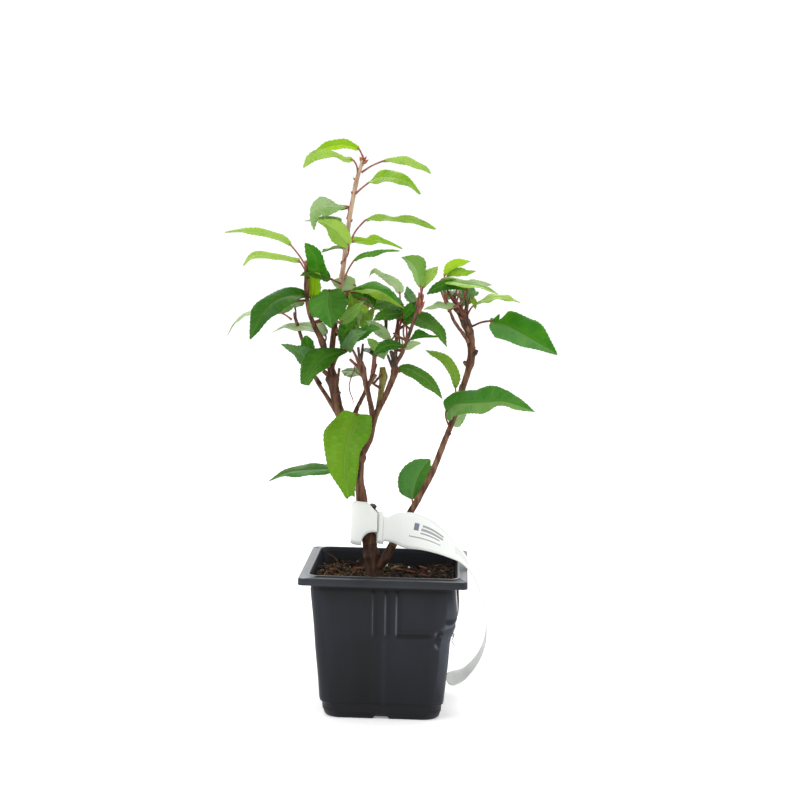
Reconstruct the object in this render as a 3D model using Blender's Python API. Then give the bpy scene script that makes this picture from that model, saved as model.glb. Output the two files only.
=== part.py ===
"""A young Portuguese laurel in a square nursery pot, with its loop label, at real size.

Metres, +Z up. The origin is the centre of the pot's flat underside, +X is the plant's right and
+Y its back. The driving dimensions below are in millimetres, and mm() turns them into metres.
"""
import math

import bmesh
import bpy
from mathutils import Vector, noise

MM = 0.001
SEAT_GAP = 0.3

# The pot, a standard square nursery pot of 9 x 9 x 8 cm
POT_HEIGHT = 80.0
RIM_HALF = 45.0
RIM_INNER_HALF = 40.0
RIM_DROP = 1.0
LIP_HEIGHT = 3.7
WALL = 1.0
FLOOR = 1.2
BODY_HALF_AT_FOOT = 32.4
BODY_SLOPE = 0.083
FOOT_ROUNDING = 2.5
FOOT_EDGE_IN = 0.7
FOOT_EDGE_UP = 0.8
MOUTH_CHAMFER = 0.6
FLANGE_FILLET = 1.0
INNER_FILLET = 2.0
INNER_FILLET_TOP = 4.0
STRAIGHT_WALL_TOP = 70.0
NOTCH_WIDTH = 12.0
NOTCH_HEIGHT = 2.5
NOTCH_INNER_END = 17.2
NOTCH_OVERSHOOT = 1.0
TUNNEL_OUTER_INSET = 1.4
DRAIN_RADIUS = 2.5
DRAIN_DEPTH = 4.0
DRAIN_OUT = 20.0
DRAIN_SIDES = 12
CORNER_STEPS = 5

# The radii of the pot's round corners, from its foot up to its mouth and its lip
FOOT_CORNER = 9.5
FOOT_EDGE_CORNER = 9.0
FOOT_UNDER_CORNER = 8.0
BODY_TOP_CORNER = 8.0
INNER_FLOOR_CORNER = 7.0
INNER_FOOT_CORNER = 8.5
INNER_TOP_CORNER = 7.0
MOUTH_CORNER = 6.0
LIP_CORNER = 4.0
LIP_INNER_CORNER = 3.5

# The compost, level with the trunk's flat cut
SOIL_LEVEL = 72.0
SOIL_FILLET = 2.2

# The loop label
LABEL_THICKNESS = 0.5
LOOP_CENTRE = (-12.2, -1.6)
LOOP_HALF = (7.4, 6.6)
LOOP_LOW = 91.0
LOOP_HIGH = 113.5
LOOP_SIDES = 24
TAIL_WIDTH = 18.0
TAIL_STEP = 5.0
TAIL_SPLIT_HEIGHT = 62.0

# The limbs: the spacing of their rings, and the radii from which a tube takes more sides
LIMB_STEP = 7.0
CURVE_STEPS = 12
MEDIUM_LIMB = 1.5
THICK_LIMB = 3.0
WELD_DISTANCE = 0.02

# The masses: their rings and sides, the bluntness of their ends and middles, and their lumps
MASS_RINGS = 8
MASS_SIDES = 8
MASS_STEP = 1.0
NECK_SHARE = 0.12
BELLY_PLACE = 0.8
BELLY_FULLNESS = 0.7
MASS_LUMPS = 0.44
LUMPS_PER_METRE = 90.0
LUMP_TURN = 0.08
LUMP_ONSET = 4.0

BARK = ("bark", (0.20, 0.11, 0.07), 0.75)
YOUNG_BARK = ("young_bark", (0.42, 0.26, 0.14), 0.65)
FOLIAGE = ("foliage", (0.12, 0.33, 0.06), 0.45)
YOUNG_FOLIAGE = ("young_foliage", (0.36, 0.58, 0.08), 0.45)
POT_PLASTIC = ("pot_plastic", (0.03, 0.033, 0.04), 0.45)
COMPOST = ("compost", (0.035, 0.022, 0.014), 0.95)
LABEL_FILM = ("label_film", (0.86, 0.88, 0.86), 0.35)

# Each limb: the limbs that carry it, its bark, then its route as (x, y, z, radius) in millimetres
# from inside its carrier. The trunk's route starts in the compost, where a flat cut ends it.
LIMBS = {
    "trunk": ((), BARK, [
        (-6.8, 0, 67, 6.0), (-7, 0, 73, 5.2), (-7.6, 0, 81, 4.3), (-9.2, 0, 88, 4.0),
        (-11.8, 0, 102, 3.2), (-14.4, 0.4, 114, 3.1), (-16, 1, 128, 2.3), (-16, 2, 140, 2.5)]),
    "left_bough": (("trunk",), BARK, [
        (-15.8, 2, 138, 2.0), (-17.5, 2.2, 145, 2.1), (-22, 3, 152, 2.2), (-27.6, 4, 162, 2.4),
        (-31, 5, 172, 2.4), (-32.8, 6, 184, 2.4)]),
    "leader": (("left_bough",), YOUNG_BARK, [
        (-32.8, 6, 182, 1.6), (-32.7, 8, 200, 1.6), (-30.6, 9, 219, 1.6), (-28, 8, 238, 1.6),
        (-26, 6, 255, 1.5), (-24, 5, 271, 1.4), (-21, 3, 288, 1.3), (-18, 2, 299, 1.1)]),
    "left_shoot": (("left_bough", "leader"), BARK, [
        (-32.6, 6, 182.5, 1.6), (-34.5, 5, 190, 1.6), (-38, 3, 201.5, 1.5), (-42.4, 0, 211, 1.3),
        (-45.3, -3, 220, 1.2), (-46.3, -6, 233, 1.1), (-46.6, -8, 244, 0.9)]),
    "left_twig": (("left_bough",), YOUNG_BARK, [
        (-28.5, 4, 161, 1.3), (-35.6, 9, 171, 1.3), (-42, 13, 180, 1.2), (-46, 17, 190, 1.1),
        (-51.5, 21, 203, 1.0), (-55.5, 24, 214, 0.8)]),
    "centre_bough": (("trunk", "left_bough"), BARK, [
        (-15.8, 1.9, 138.5, 1.8), (-11, 1, 147.5, 1.9), (-9, 0, 157, 1.8), (-5.8, -1, 166, 1.6),
        (-1.4, -3, 175, 1.6), (2.3, -4, 185, 1.9), (2.8, -4, 193, 1.7)]),
    "middle_bough": (("centre_bough",), BARK, [
        (-8.8, -0.2, 158, 1.5), (-10, -4, 167, 1.6), (-12, -7, 176.5, 1.6), (-14.2, -9, 186, 1.7),
        (-16, -10, 192, 1.7)]),
    "cross_twig": (("left_bough",), BARK, [
        (-21.5, 3.2, 151.5, 1.2), (-19.4, 9, 162, 1.2), (-14, 13, 174.5, 1.1), (-11.2, 15, 181, 1.0),
        (-9, 17, 189, 0.9)]),
    "green_stub": (("centre_bough",), YOUNG_BARK, [
        (-6.2, -0.8, 165, 1.3), (-5.1, 4, 174.5, 1.5), (-4.2, 6, 182, 1.8), (-4.7, 7, 188, 1.6)]),
    "centre_shoot": (("centre_bough",), YOUNG_BARK, [
        (2.7, -4, 191, 1.0), (3, -1, 201, 1.0), (3.2, 2, 208, 0.9), (3.5, 5, 214, 0.9)]),
    "right_shoot": (("centre_bough", "centre_shoot"), BARK, [
        (2.9, -4.3, 190.5, 1.3), (6.5, -6, 197, 1.2), (9.1, -8, 204, 1.1), (12, -10, 213, 1.0),
        (14.8, -12, 222, 1.1), (16.3, -13, 230, 1.3)]),
    "right_stem": (("trunk",), BARK, [
        (-7, -0.5, 80, 2.2), (-2, -1.5, 82.5, 2.2), (2, -2, 86, 2.1), (7, -3, 92.7, 2.0),
        (11.6, -3.6, 102, 1.8), (15.8, -3, 111.3, 1.7), (24.2, 0, 131, 1.6), (31.4, 4, 150, 1.6),
        (36.6, 7, 164, 1.7), (40.2, 9, 179, 1.8)]),
    "right_stem_top": (("right_stem",), BARK, [
        (40.1, 9, 178, 1.6), (43, 10, 192.5, 2.0), (45.6, 10, 202.5, 1.9), (43.7, 8, 213, 1.7),
        (39.7, 5, 219.7, 1.5), (34.7, 2, 223.5, 1.3)]),
    "inner_twig": (("right_stem_top",), BARK, [
        (44.6, 9, 207, 1.0), (38, 3, 210.5, 1.1), (34, -2, 214, 1.1), (31.2, -5, 220, 1.1)]),
}

# Each mass of foliage: colour, greatest half width and half thickness, then its spine in millimetres
# from inside the limb that carries it to its furthest leaf tip
MASSES = {
    "tip_left": (YOUNG_FOLIAGE, 9, 5.5, [
        (-19, 2, 296), (-24, 2, 304), (-36, -2, 308), (-49, -12, 296)]),
    "tip_right_upper": (YOUNG_FOLIAGE, 8, 4, [
        (-18, 3, 294.5), (-7, 8, 301), (7, 14, 302), (23, 20, 294)]),
    "tip_right_lower": (YOUNG_FOLIAGE, 8, 4.5, [
        (-21.5, 3, 284), (-11, -5, 290), (1, -14, 291), (15, -22, 283)]),
    "upper_left": (YOUNG_FOLIAGE, 9, 5, [
        (-24.5, 5, 269), (-31, 3, 275), (-41, -8, 276), (-42, -20, 262)]),
    "mid_left": (YOUNG_FOLIAGE, 9, 5, [
        (-27.5, 7, 243), (-29.5, -2, 252), (-35, -11, 260), (-39, -19, 266)]),
    "mid_right": (FOLIAGE, 8, 4, [
        (-25.5, 6, 257), (-16, 2, 267), (4, -6, 269), (28, -16, 261)]),
    "mid_back": (YOUNG_FOLIAGE, 9, 4.5, [
        (-26.2, 6.4, 253), (-24, 18, 257), (-13, 28, 259), (3, 35, 253)]),
    "mid_low_right": (FOLIAGE, 7, 3.5, [
        (-28, 8, 237), (-20, 8, 244.5), (-10, 4, 248), (3, -4, 252)]),
    "far_left_upper": (YOUNG_FOLIAGE, 8, 4, [
        (-46.6, -7.5, 242), (-55, -10, 252), (-67, -16, 260), (-90, -26, 261)]),
    "far_left_lower": (YOUNG_FOLIAGE, 8, 4, [
        (-46.3, -6, 234), (-53, 2, 243), (-69, 12, 246), (-86, 26, 240)]),
    "left_upright": (FOLIAGE, 8, 4.5, [
        (-28.6, 8, 234), (-37, -3, 238), (-41, -10, 246), (-45, -14, 256)]),
    "left_broad": (FOLIAGE, 10, 5, [
        (-45.5, -4, 224), (-51, -13, 228), (-62, -28, 222), (-71, -42, 204)]),
    "left_back": (FOLIAGE, 10, 5, [
        (-55, 23.5, 211), (-66, 32, 219), (-84, 44, 212), (-99, 56, 201)]),
    "left_inner_back": (YOUNG_FOLIAGE, 9, 4.5, [
        (-37, 3.5, 199), (-42, 14, 208), (-52, 28, 210), (-66, 44, 203)]),
    "front_round": (FOLIAGE, 10, 5, [
        (-31, 8.5, 217), (-33, -6, 225), (-32.5, -20, 221), (-31, -31, 211)]),
    "low_cluster": (FOLIAGE, 12, 6, [
        (-33.5, 6, 189), (-36, -8, 195), (-42, -24, 190), (-50, -38, 180)]),
    "centre_blue": (FOLIAGE, 9, 5, [
        (-32, 8.5, 207), (-25, 0, 206), (-20, -12, 206), (-14, -22, 202)]),
    "centre_arch": (FOLIAGE, 10, 5.5, [
        (-29.5, 8.5, 228), (-21, 0, 231), (-7, -10, 231), (7, -22, 222)]),
    "centre_back": (FOLIAGE, 12, 6, [
        (-29.8, 9, 223), (-22, 24, 225), (-12, 40, 222), (-4, 56, 212)]),
    "centre_pale": (FOLIAGE, 9, 4.5, [
        (3.4, 4, 212), (4, 16, 222), (-3, 26, 232), (-14, 32, 240)]),
    "centre_dark": (FOLIAGE, 9, 5, [
        (3.2, -1, 203), (0, -12, 207), (-4, -22, 207), (-9, -34, 200)]),
    "right_arch": (FOLIAGE, 8, 4.5, [
        (12, -10, 213), (17, -20, 218), (26, -30, 215), (31, -38, 203)]),
    "low_sickle": (FOLIAGE, 8, 4, [
        (1.8, -4, 187), (8, -12, 190), (19, -22, 187), (29, -32, 177)]),
    "low_back": (FOLIAGE, 10, 5, [
        (-9.2, 17, 187), (-6, 28, 194), (2, 42, 196), (12, 56, 190)]),
    "upright_pair": (FOLIAGE, 8, 5, [
        (16.2, -13, 229), (16, -10, 236), (13, -5, 242), (8, 1, 249)]),
    "top_right": (YOUNG_FOLIAGE, 9, 5, [
        (31.6, -4.5, 219), (29, 6, 233), (34, 16, 243), (45, 26, 245)]),
    "right_long": (FOLIAGE, 8, 5, [
        (31.6, -5, 218.5), (33, -18, 228), (43, -28, 233), (57, -36, 231)]),
    "right_tip": (YOUNG_FOLIAGE, 8, 4.5, [
        (44, 8.3, 212), (48, 5, 222), (57, 0, 228), (71, -8, 227)]),
    "right_back": (FOLIAGE, 10, 5, [
        (39, 4.5, 220), (44, 18, 226), (50, 34, 224), (57, 50, 214)]),
    "far_right": (FOLIAGE, 11, 5, [
        (44.5, 9, 209.5), (56, 4, 215), (72, -9, 212), (90, -24, 199)]),
    "narrow_right": (YOUNG_FOLIAGE, 7, 4, [
        (36.8, 7, 165), (36.5, 18, 175), (32, 28, 186), (20, 40, 194)]),
    "right_low": (FOLIAGE, 11, 5.5, [
        (32.4, 4.5, 153), (34, -10, 168), (54, -24, 173), (77, -40, 170)]),
    "basal_right": (FOLIAGE, 10, 5, [
        (21.2, 0.5, 124), (15, 7, 119), (13, 16, 127), (20, 26, 141)]),
    "basal_left": (FOLIAGE, 8, 4, [
        (-16, 1.4, 134), (-30, 8, 131), (-48, 16, 128), (-70, 26, 120)]),
    "hanging_front": (YOUNG_FOLIAGE, 12, 5.5, [
        (-9, 0, 158), (-15, -14, 160), (-23, -27, 148), (-21.5, -33, 121)]),
}

# The label's centre line in millimetres, each point with the twist of its width: 0 stands upright,
# 90 lies back along +Y
TAIL_ROUTE = [
    (-3.4, -5.6, 99.5, 0), (1.0, -8.8, 99.9, 0), (9.0, -9.8, 100.2, 5), (21.8, -8.5, 97.4, 30),
    (32.4, -6.0, 92.0, 58), (41.0, -3.6, 85.6, 78), (48.0, -2.6, 76.5, 88), (52.6, -2.2, 66.0, 90),
    (55.6, -2.0, 55.0, 90), (57.4, -2.0, 43.6, 90), (56.5, -2.0, 33.3, 90), (52.3, -2.2, 24.1, 90),
    (45.7, -3.0, 16.8, 90), (38.5, -4.0, 14.0, 90)]


def mm(*values):
    """A point or vector given in millimetres, in metres."""
    return Vector(values) * MM


def clear_scene():
    for item in list(bpy.data.objects):
        bpy.data.objects.remove(item, do_unlink=True)
    for mesh in list(bpy.data.meshes):
        bpy.data.meshes.remove(mesh)


def new_collection(name):
    collection = bpy.data.collections.new(name)
    bpy.context.scene.collection.children.link(collection)
    return collection


def material(finish):
    name, colour, roughness = finish
    found = bpy.data.materials.get(name)
    if found:
        return found
    made = bpy.data.materials.new(name)
    made.use_nodes = True
    shader = made.node_tree.nodes["Principled BSDF"]
    shader.inputs["Base Color"].default_value = (*colour, 1.0)
    shader.inputs["Roughness"].default_value = roughness
    shader.inputs["Metallic"].default_value = 0.0
    return made


def add_object(name, mesh, collection, finish=None):
    made = bpy.data.objects.new(name, mesh)
    collection.objects.link(made)
    if finish:
        mesh.materials.append(material(finish))
        mesh.shade_smooth()
        mesh.set_sharp_from_angle(angle=math.radians(40))
    else:
        made.hide_render = True
        made.display_type = "WIRE"
    return made


def difference(target, cutter):
    modifier = target.modifiers.new("cut_" + cutter.name, "BOOLEAN")
    modifier.operation = "DIFFERENCE"
    modifier.object = cutter
    modifier.solver = "EXACT"


def union(target, addition):
    modifier = target.modifiers.new("join_" + addition.name, "BOOLEAN")
    modifier.operation = "UNION"
    modifier.object = addition
    modifier.solver = "EXACT"


def loft(name, rings, closed=False):
    """A mesh through rings of equal point counts, capped at both ends unless it closes on itself."""
    shape = bmesh.new()
    loops = [[shape.verts.new(point) for point in ring] for ring in rings]
    count = len(rings[0])
    pairs = list(zip(loops, loops[1:]))
    if closed:
        pairs.append((loops[-1], loops[0]))
    for lower, upper in pairs:
        for i in range(count):
            j = (i + 1) % count
            shape.faces.new((lower[i], lower[j], upper[j], upper[i]))
    if not closed:
        shape.faces.new(reversed(loops[0]))
        shape.faces.new(loops[-1])
    bmesh.ops.recalc_face_normals(shape, faces=shape.faces)
    mesh = bpy.data.meshes.new(name)
    shape.to_mesh(mesh)
    shape.free()
    return mesh


def rounded_square(half, corner, height):
    """Points round a square of the given half width with round corners, at one height."""
    points = []
    for quarter in range(4):
        for step in range(CORNER_STEPS + 1):
            turn = math.radians(90 * (quarter + step / CORNER_STEPS))
            start = math.radians(90 * quarter + 45)
            centre = (half - corner) * math.sqrt(2)
            x = centre * math.cos(start) + corner * math.cos(turn)
            y = centre * math.sin(start) + corner * math.sin(turn)
            points.append(mm(x, y, height))
    return points


def body_half(height):
    """The half width of the pot's outer wall at a height."""
    return BODY_HALF_AT_FOOT + BODY_SLOPE * height


def box_mesh(name, low, high):
    shape = bmesh.new()
    bmesh.ops.create_cube(shape, size=1.0)
    size = [(b - a) * MM for a, b in zip(low, high)]
    middle = [(a + b) / 2 * MM for a, b in zip(low, high)]
    bmesh.ops.scale(shape, vec=size, verts=shape.verts)
    bmesh.ops.translate(shape, vec=middle, verts=shape.verts)
    mesh = bpy.data.meshes.new(name)
    shape.to_mesh(mesh)
    shape.free()
    return mesh


def four_sides(name, mesh, cutters):
    """The same cutter on each side of the pot, turned about the upright axis."""
    made = []
    for side in range(4):
        cutter = add_object(f"{name}_{side}", mesh, cutters)
        cutter.rotation_euler.z = math.radians(90 * side)
        made.append(cutter)
    return made


def tunnel_box(name, spread):
    """The raised stretch of floor over a notch, grown by spread on its inner sides."""
    side = NOTCH_WIDTH / 2 + FLOOR + spread
    inner = NOTCH_INNER_END - FLOOR - spread
    low = (-side, -(body_half(0) - TUNNEL_OUTER_INSET + spread), FLOOR / 2)
    high = (side, -inner, NOTCH_HEIGHT + FLOOR + spread)
    return box_mesh(name, low, high)


def pot(parts, cutters):
    """The hollow pot: flange round the rim, tapering walls, rounded foot with a notch in each side."""
    top = POT_HEIGHT
    lip_low = top - RIM_DROP - LIP_HEIGHT
    rings = [
        rounded_square(body_half(FLOOR) - WALL - INNER_FILLET, INNER_FLOOR_CORNER, FLOOR),
        rounded_square(body_half(INNER_FILLET_TOP) - WALL, INNER_FOOT_CORNER, INNER_FILLET_TOP),
        rounded_square(body_half(STRAIGHT_WALL_TOP) - WALL, INNER_TOP_CORNER, STRAIGHT_WALL_TOP),
        rounded_square(RIM_INNER_HALF - MOUTH_CHAMFER, MOUTH_CORNER, top - MOUTH_CHAMFER),
        rounded_square(RIM_INNER_HALF, MOUTH_CORNER, top),
        rounded_square(RIM_HALF, LIP_CORNER, top - RIM_DROP),
        rounded_square(RIM_HALF, LIP_CORNER, lip_low),
        rounded_square(RIM_HALF - WALL, LIP_INNER_CORNER, lip_low),
        rounded_square(RIM_HALF - WALL, LIP_INNER_CORNER, top - RIM_DROP - WALL),
        rounded_square(body_half(lip_low), BODY_TOP_CORNER, lip_low + 2 * FLANGE_FILLET),
        rounded_square(body_half(FOOT_ROUNDING), FOOT_CORNER, FOOT_ROUNDING),
        rounded_square(body_half(0) - FOOT_EDGE_IN, FOOT_EDGE_CORNER, FOOT_EDGE_UP),
        rounded_square(body_half(0) - FOOT_ROUNDING, FOOT_UNDER_CORNER, 0.0),
    ]
    shell = add_object("pot", loft("pot", rings), parts, POT_PLASTIC)
    for tunnel in four_sides("pot_tunnel", tunnel_box("pot_tunnel", 0.0), cutters):
        union(shell, tunnel)
    half = NOTCH_WIDTH / 2
    low = (-half, -RIM_HALF, -NOTCH_OVERSHOOT)
    notch = box_mesh("pot_notch", low, (half, -NOTCH_INNER_END, NOTCH_HEIGHT))
    for cutter in four_sides("pot_notch", notch, cutters):
        difference(shell, cutter)
    drain = bmesh.new()
    bmesh.ops.create_cone(drain, cap_ends=True, segments=DRAIN_SIDES, radius1=DRAIN_RADIUS * MM,
                          radius2=DRAIN_RADIUS * MM, depth=DRAIN_DEPTH * MM)
    bmesh.ops.translate(drain, vec=mm(0, -DRAIN_OUT, NOTCH_HEIGHT + FLOOR), verts=drain.verts)
    drain_mesh = bpy.data.meshes.new("pot_drain")
    drain.to_mesh(drain_mesh)
    drain.free()
    for cutter in four_sides("pot_drain", drain_mesh, cutters):
        difference(shell, cutter)


def compost(parts, cutters):
    """The compost that fills the pot to the soil level, clear of the walls and floor."""
    inset = WALL + SEAT_GAP
    fillet_top = INNER_FILLET_TOP + SEAT_GAP
    top_corner = INNER_TOP_CORNER - SEAT_GAP
    rings = [
        rounded_square(body_half(FLOOR) - inset - SOIL_FILLET, INNER_FLOOR_CORNER - SEAT_GAP,
                       FLOOR + SEAT_GAP),
        rounded_square(body_half(fillet_top) - inset, INNER_FOOT_CORNER - SEAT_GAP, fillet_top),
        rounded_square(body_half(STRAIGHT_WALL_TOP) - inset, top_corner, STRAIGHT_WALL_TOP),
        rounded_square(body_half(SOIL_LEVEL) - inset, top_corner, SOIL_LEVEL),
    ]
    fill = add_object("compost", loft("compost", rings), parts, COMPOST)
    clearance = tunnel_box("compost_tunnel", SEAT_GAP)
    for cutter in four_sides("compost_tunnel", clearance, cutters):
        difference(fill, cutter)


def smooth_route(points, spacing):
    """Evenly spaced points on a smooth curve through the given ones; each may carry more values."""
    dense = []
    rows = [points[0], *points, points[-1]]
    for a, b, c, d in zip(rows, rows[1:], rows[2:], rows[3:]):
        for step in range(CURVE_STEPS):
            t = step / CURVE_STEPS
            dense.append([
                0.5 * (2 * q + (r - p) * t + (2 * p - 5 * q + 4 * r - s) * t * t
                       + (3 * q - p - 3 * r + s) * t ** 3)
                for p, q, r, s in zip(a, b, c, d)])
    dense.append(list(points[-1]))
    along = [0.0]
    for a, b in zip(dense, dense[1:]):
        along.append(along[-1] + math.dist(a[:3], b[:3]))
    count = max(2, round(along[-1] / spacing))
    spaced = []
    place = 0
    for step in range(count + 1):
        wanted = along[-1] * step / count
        while place < len(along) - 2 and along[place + 1] < wanted:
            place += 1
        share = (wanted - along[place]) / (along[place + 1] - along[place])
        spaced.append([a + (b - a) * share for a, b in zip(dense[place], dense[place + 1])])
    return spaced


def tube(name, route, extra, collection, finish=None):
    """A tapering tube along a route, its radius grown by extra, as a mesh with welded caps."""
    thick = max(point[3] for point in route)
    spaced = smooth_route(route, LIMB_STEP)
    curve = bpy.data.curves.new(name + "_curve", "CURVE")
    curve.dimensions = "3D"
    curve.bevel_depth = 1.0
    curve.bevel_resolution = 1 + (thick > MEDIUM_LIMB) + (thick > THICK_LIMB)
    curve.use_fill_caps = True
    spline = curve.splines.new("POLY")
    last = len(spaced) - 1
    spline.points.add(last)
    for index, (x, y, z, radius) in enumerate(spaced):
        place = mm(x, y, z)
        if index == last:
            before = mm(*spaced[index - 1][:3])
            place += (place - before).normalized() * extra * MM
        spline.points[index].co = (*place, 1.0)
        spline.points[index].radius = (radius + extra) * MM
    holder = bpy.data.objects.new(name + "_holder", curve)
    collection.objects.link(holder)
    ready = holder.evaluated_get(bpy.context.evaluated_depsgraph_get())
    mesh = bpy.data.meshes.new_from_object(ready)
    mesh.name = name
    bpy.data.objects.remove(holder, do_unlink=True)
    shape = bmesh.new()
    shape.from_mesh(mesh)
    bmesh.ops.remove_doubles(shape, verts=shape.verts, dist=WELD_DISTANCE * MM)
    bmesh.ops.recalc_face_normals(shape, faces=shape.faces)
    shape.to_mesh(mesh)
    shape.free()
    mesh.materials.clear()
    return add_object(name, mesh, collection, finish)


def limbs(parts, cutters):
    """Every stem and bough, each cut back to its seat on the limbs that carry it."""
    reach = RIM_HALF
    ground = box_mesh("ground", (-reach, -reach, 0), (reach, reach, SOIL_LEVEL + SEAT_GAP))
    below_ground = add_object("below_ground", ground, cutters)
    clearances = {}
    for name, (carriers, finish, route) in LIMBS.items():
        limb = tube(name, route, 0.0, parts, finish)
        for carrier in carriers:
            difference(limb, clearances[carrier])
        if not carriers:
            difference(limb, below_ground)
        clearances[name] = tube(name + "_clearance", route, SEAT_GAP, cutters)
    return clearances


def swelling(share):
    """The outline of a mass from its neck at 0 to its tip at 1, as a share of its greatest width."""
    if not 0 < share < 1:
        return NECK_SHARE
    belly = math.sin(math.pi * share ** BELLY_PLACE) ** BELLY_FULLNESS
    return NECK_SHARE + (1 - NECK_SHARE) * belly


def mass_mesh(name, spine, half_width, half_thickness, extra):
    """An uneven closed solid along a spine, flattened, with lumps from a fixed noise field."""
    spaced = smooth_route(spine, MASS_STEP)
    rings = []
    for ring in range(MASS_RINGS):
        share = ring / (MASS_RINGS - 1)
        index = round(share * (len(spaced) - 1))
        centre = mm(*spaced[index])
        ahead = mm(*spaced[min(index + 1, len(spaced) - 1)])
        behind = mm(*spaced[max(index - 1, 0)])
        along = (ahead - behind).normalized()
        across = along.cross(Vector((0, 0, 1))).normalized()
        upward = across.cross(along)
        points = []
        for side in range(MASS_SIDES):
            turn = 2 * math.pi * side / MASS_SIDES
            direction = across * math.cos(turn) * half_width + upward * math.sin(turn) * half_thickness
            lump = noise.noise(centre * LUMPS_PER_METRE + direction * LUMP_TURN)
            scale = swelling(share) * (1 + MASS_LUMPS * lump * min(1, LUMP_ONSET * share))
            points.append(centre + direction * scale * MM + direction.normalized() * extra * MM)
        end = {0: -1, MASS_RINGS - 1: 1}.get(ring, 0)
        rings.append([point + along * end * extra * MM for point in points])
    return loft(name, rings)


def boxes_meet(first, second):
    lows = [[min(v.co[i] for v in mesh.vertices) for i in range(3)] for mesh in (first, second)]
    highs = [[max(v.co[i] for v in mesh.vertices) for i in range(3)] for mesh in (first, second)]
    return all(lows[0][i] < highs[1][i] and lows[1][i] < highs[0][i] for i in range(3))


def masses(parts, cutters, clearances):
    """Every mass of foliage, cut back from the limbs it meets and from the masses made before it."""
    made = []
    for name, (finish, half_width, half_thickness, spine) in MASSES.items():
        mesh = mass_mesh(name, spine, half_width, half_thickness, 0.0)
        mass = add_object(name, mesh, parts, finish)
        for cutter in [*clearances.values(), *made]:
            if boxes_meet(mesh, cutter.data):
                difference(mass, cutter)
        grown = mass_mesh(name + "_clearance", spine, half_width, half_thickness, SEAT_GAP)
        made.append(add_object(name + "_clearance", grown, cutters))


def label_loop(parts):
    """The label's head, a closed band round the trunk."""
    def ellipse(grow, height):
        points = []
        for side in range(LOOP_SIDES):
            turn = 2 * math.pi * side / LOOP_SIDES
            x = LOOP_CENTRE[0] + (LOOP_HALF[0] + grow) * math.cos(turn)
            y = LOOP_CENTRE[1] + (LOOP_HALF[1] + grow) * math.sin(turn)
            points.append(mm(x, y, height))
        return points
    rings = [ellipse(0, LOOP_LOW), ellipse(0, LOOP_HIGH),
             ellipse(LABEL_THICKNESS, LOOP_HIGH), ellipse(LABEL_THICKNESS, LOOP_LOW)]
    add_object("label_loop", loft("label_loop", rings, closed=True), parts, LABEL_FILM)


def label_tail(parts):
    """The label's tail in two stretches: over the rim, then down and back under itself."""
    spaced = smooth_route(TAIL_ROUTE, TAIL_STEP)
    split = next(i for i, row in enumerate(spaced) if row[2] < TAIL_SPLIT_HEIGHT)
    rings = []
    for index, (x, y, z, twist) in enumerate(spaced):
        ahead = mm(*spaced[min(index + 1, len(spaced) - 1)][:3])
        behind = mm(*spaced[max(index - 1, 0)][:3])
        along = (ahead - behind).normalized()
        turn = math.radians(twist)
        wanted = Vector((0, math.sin(turn), math.cos(turn)))
        across = (wanted - along * wanted.dot(along)).normalized()
        outward = along.cross(across)
        half = across * TAIL_WIDTH / 2 * MM
        thick = outward * LABEL_THICKNESS / 2 * MM
        centre = mm(x, y, z)
        rings.append((along, [centre - half - thick, centre + half - thick,
                              centre + half + thick, centre - half + thick]))
    upper = [ring for along, ring in rings[:split + 1]]
    along, first = rings[split]
    lower = [[point + along * SEAT_GAP * MM for point in first]]
    lower += [ring for along, ring in rings[split + 1:]]
    add_object("label_tail_upper", loft("label_tail_upper", upper), parts, LABEL_FILM)
    add_object("label_tail_lower", loft("label_tail_lower", lower), parts, LABEL_FILM)


def main():
    clear_scene()
    parts = new_collection("potted_portuguese_laurel")
    cutters = new_collection("cutters")
    pot(parts, cutters)
    compost(parts, cutters)
    clearances = limbs(parts, cutters)
    masses(parts, cutters, clearances)
    label_loop(parts)
    label_tail(parts)


main()
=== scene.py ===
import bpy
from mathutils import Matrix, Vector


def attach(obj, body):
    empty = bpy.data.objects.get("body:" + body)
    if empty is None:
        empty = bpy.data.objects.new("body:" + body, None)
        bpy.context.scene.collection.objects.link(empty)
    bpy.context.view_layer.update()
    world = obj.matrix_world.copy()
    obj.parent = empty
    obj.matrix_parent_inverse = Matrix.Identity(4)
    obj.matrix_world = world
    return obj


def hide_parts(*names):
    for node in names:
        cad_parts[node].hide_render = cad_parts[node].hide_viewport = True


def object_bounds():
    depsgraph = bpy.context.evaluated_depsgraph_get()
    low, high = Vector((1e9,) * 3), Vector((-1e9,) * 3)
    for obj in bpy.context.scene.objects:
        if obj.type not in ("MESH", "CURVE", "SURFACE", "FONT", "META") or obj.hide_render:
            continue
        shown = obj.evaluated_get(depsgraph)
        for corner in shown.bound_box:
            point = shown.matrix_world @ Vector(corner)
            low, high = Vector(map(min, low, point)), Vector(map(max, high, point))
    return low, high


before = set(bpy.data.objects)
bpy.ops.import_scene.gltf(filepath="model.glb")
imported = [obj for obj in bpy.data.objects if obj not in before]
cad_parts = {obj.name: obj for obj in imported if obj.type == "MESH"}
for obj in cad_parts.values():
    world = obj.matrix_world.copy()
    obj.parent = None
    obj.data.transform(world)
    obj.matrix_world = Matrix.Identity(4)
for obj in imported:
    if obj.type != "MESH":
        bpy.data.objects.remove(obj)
start_box = [list(corner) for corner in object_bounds()]

import math
import bpy
import numpy as np
from mathutils import Matrix, Vector
from mathutils.bvhtree import BVHTree

# The looks of a potted Portuguese laurel. Lengths are in millimetres, x to the right of the picture,
# y away from the camera and z up, until a mesh is made of them.
MM = 0.001

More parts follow.
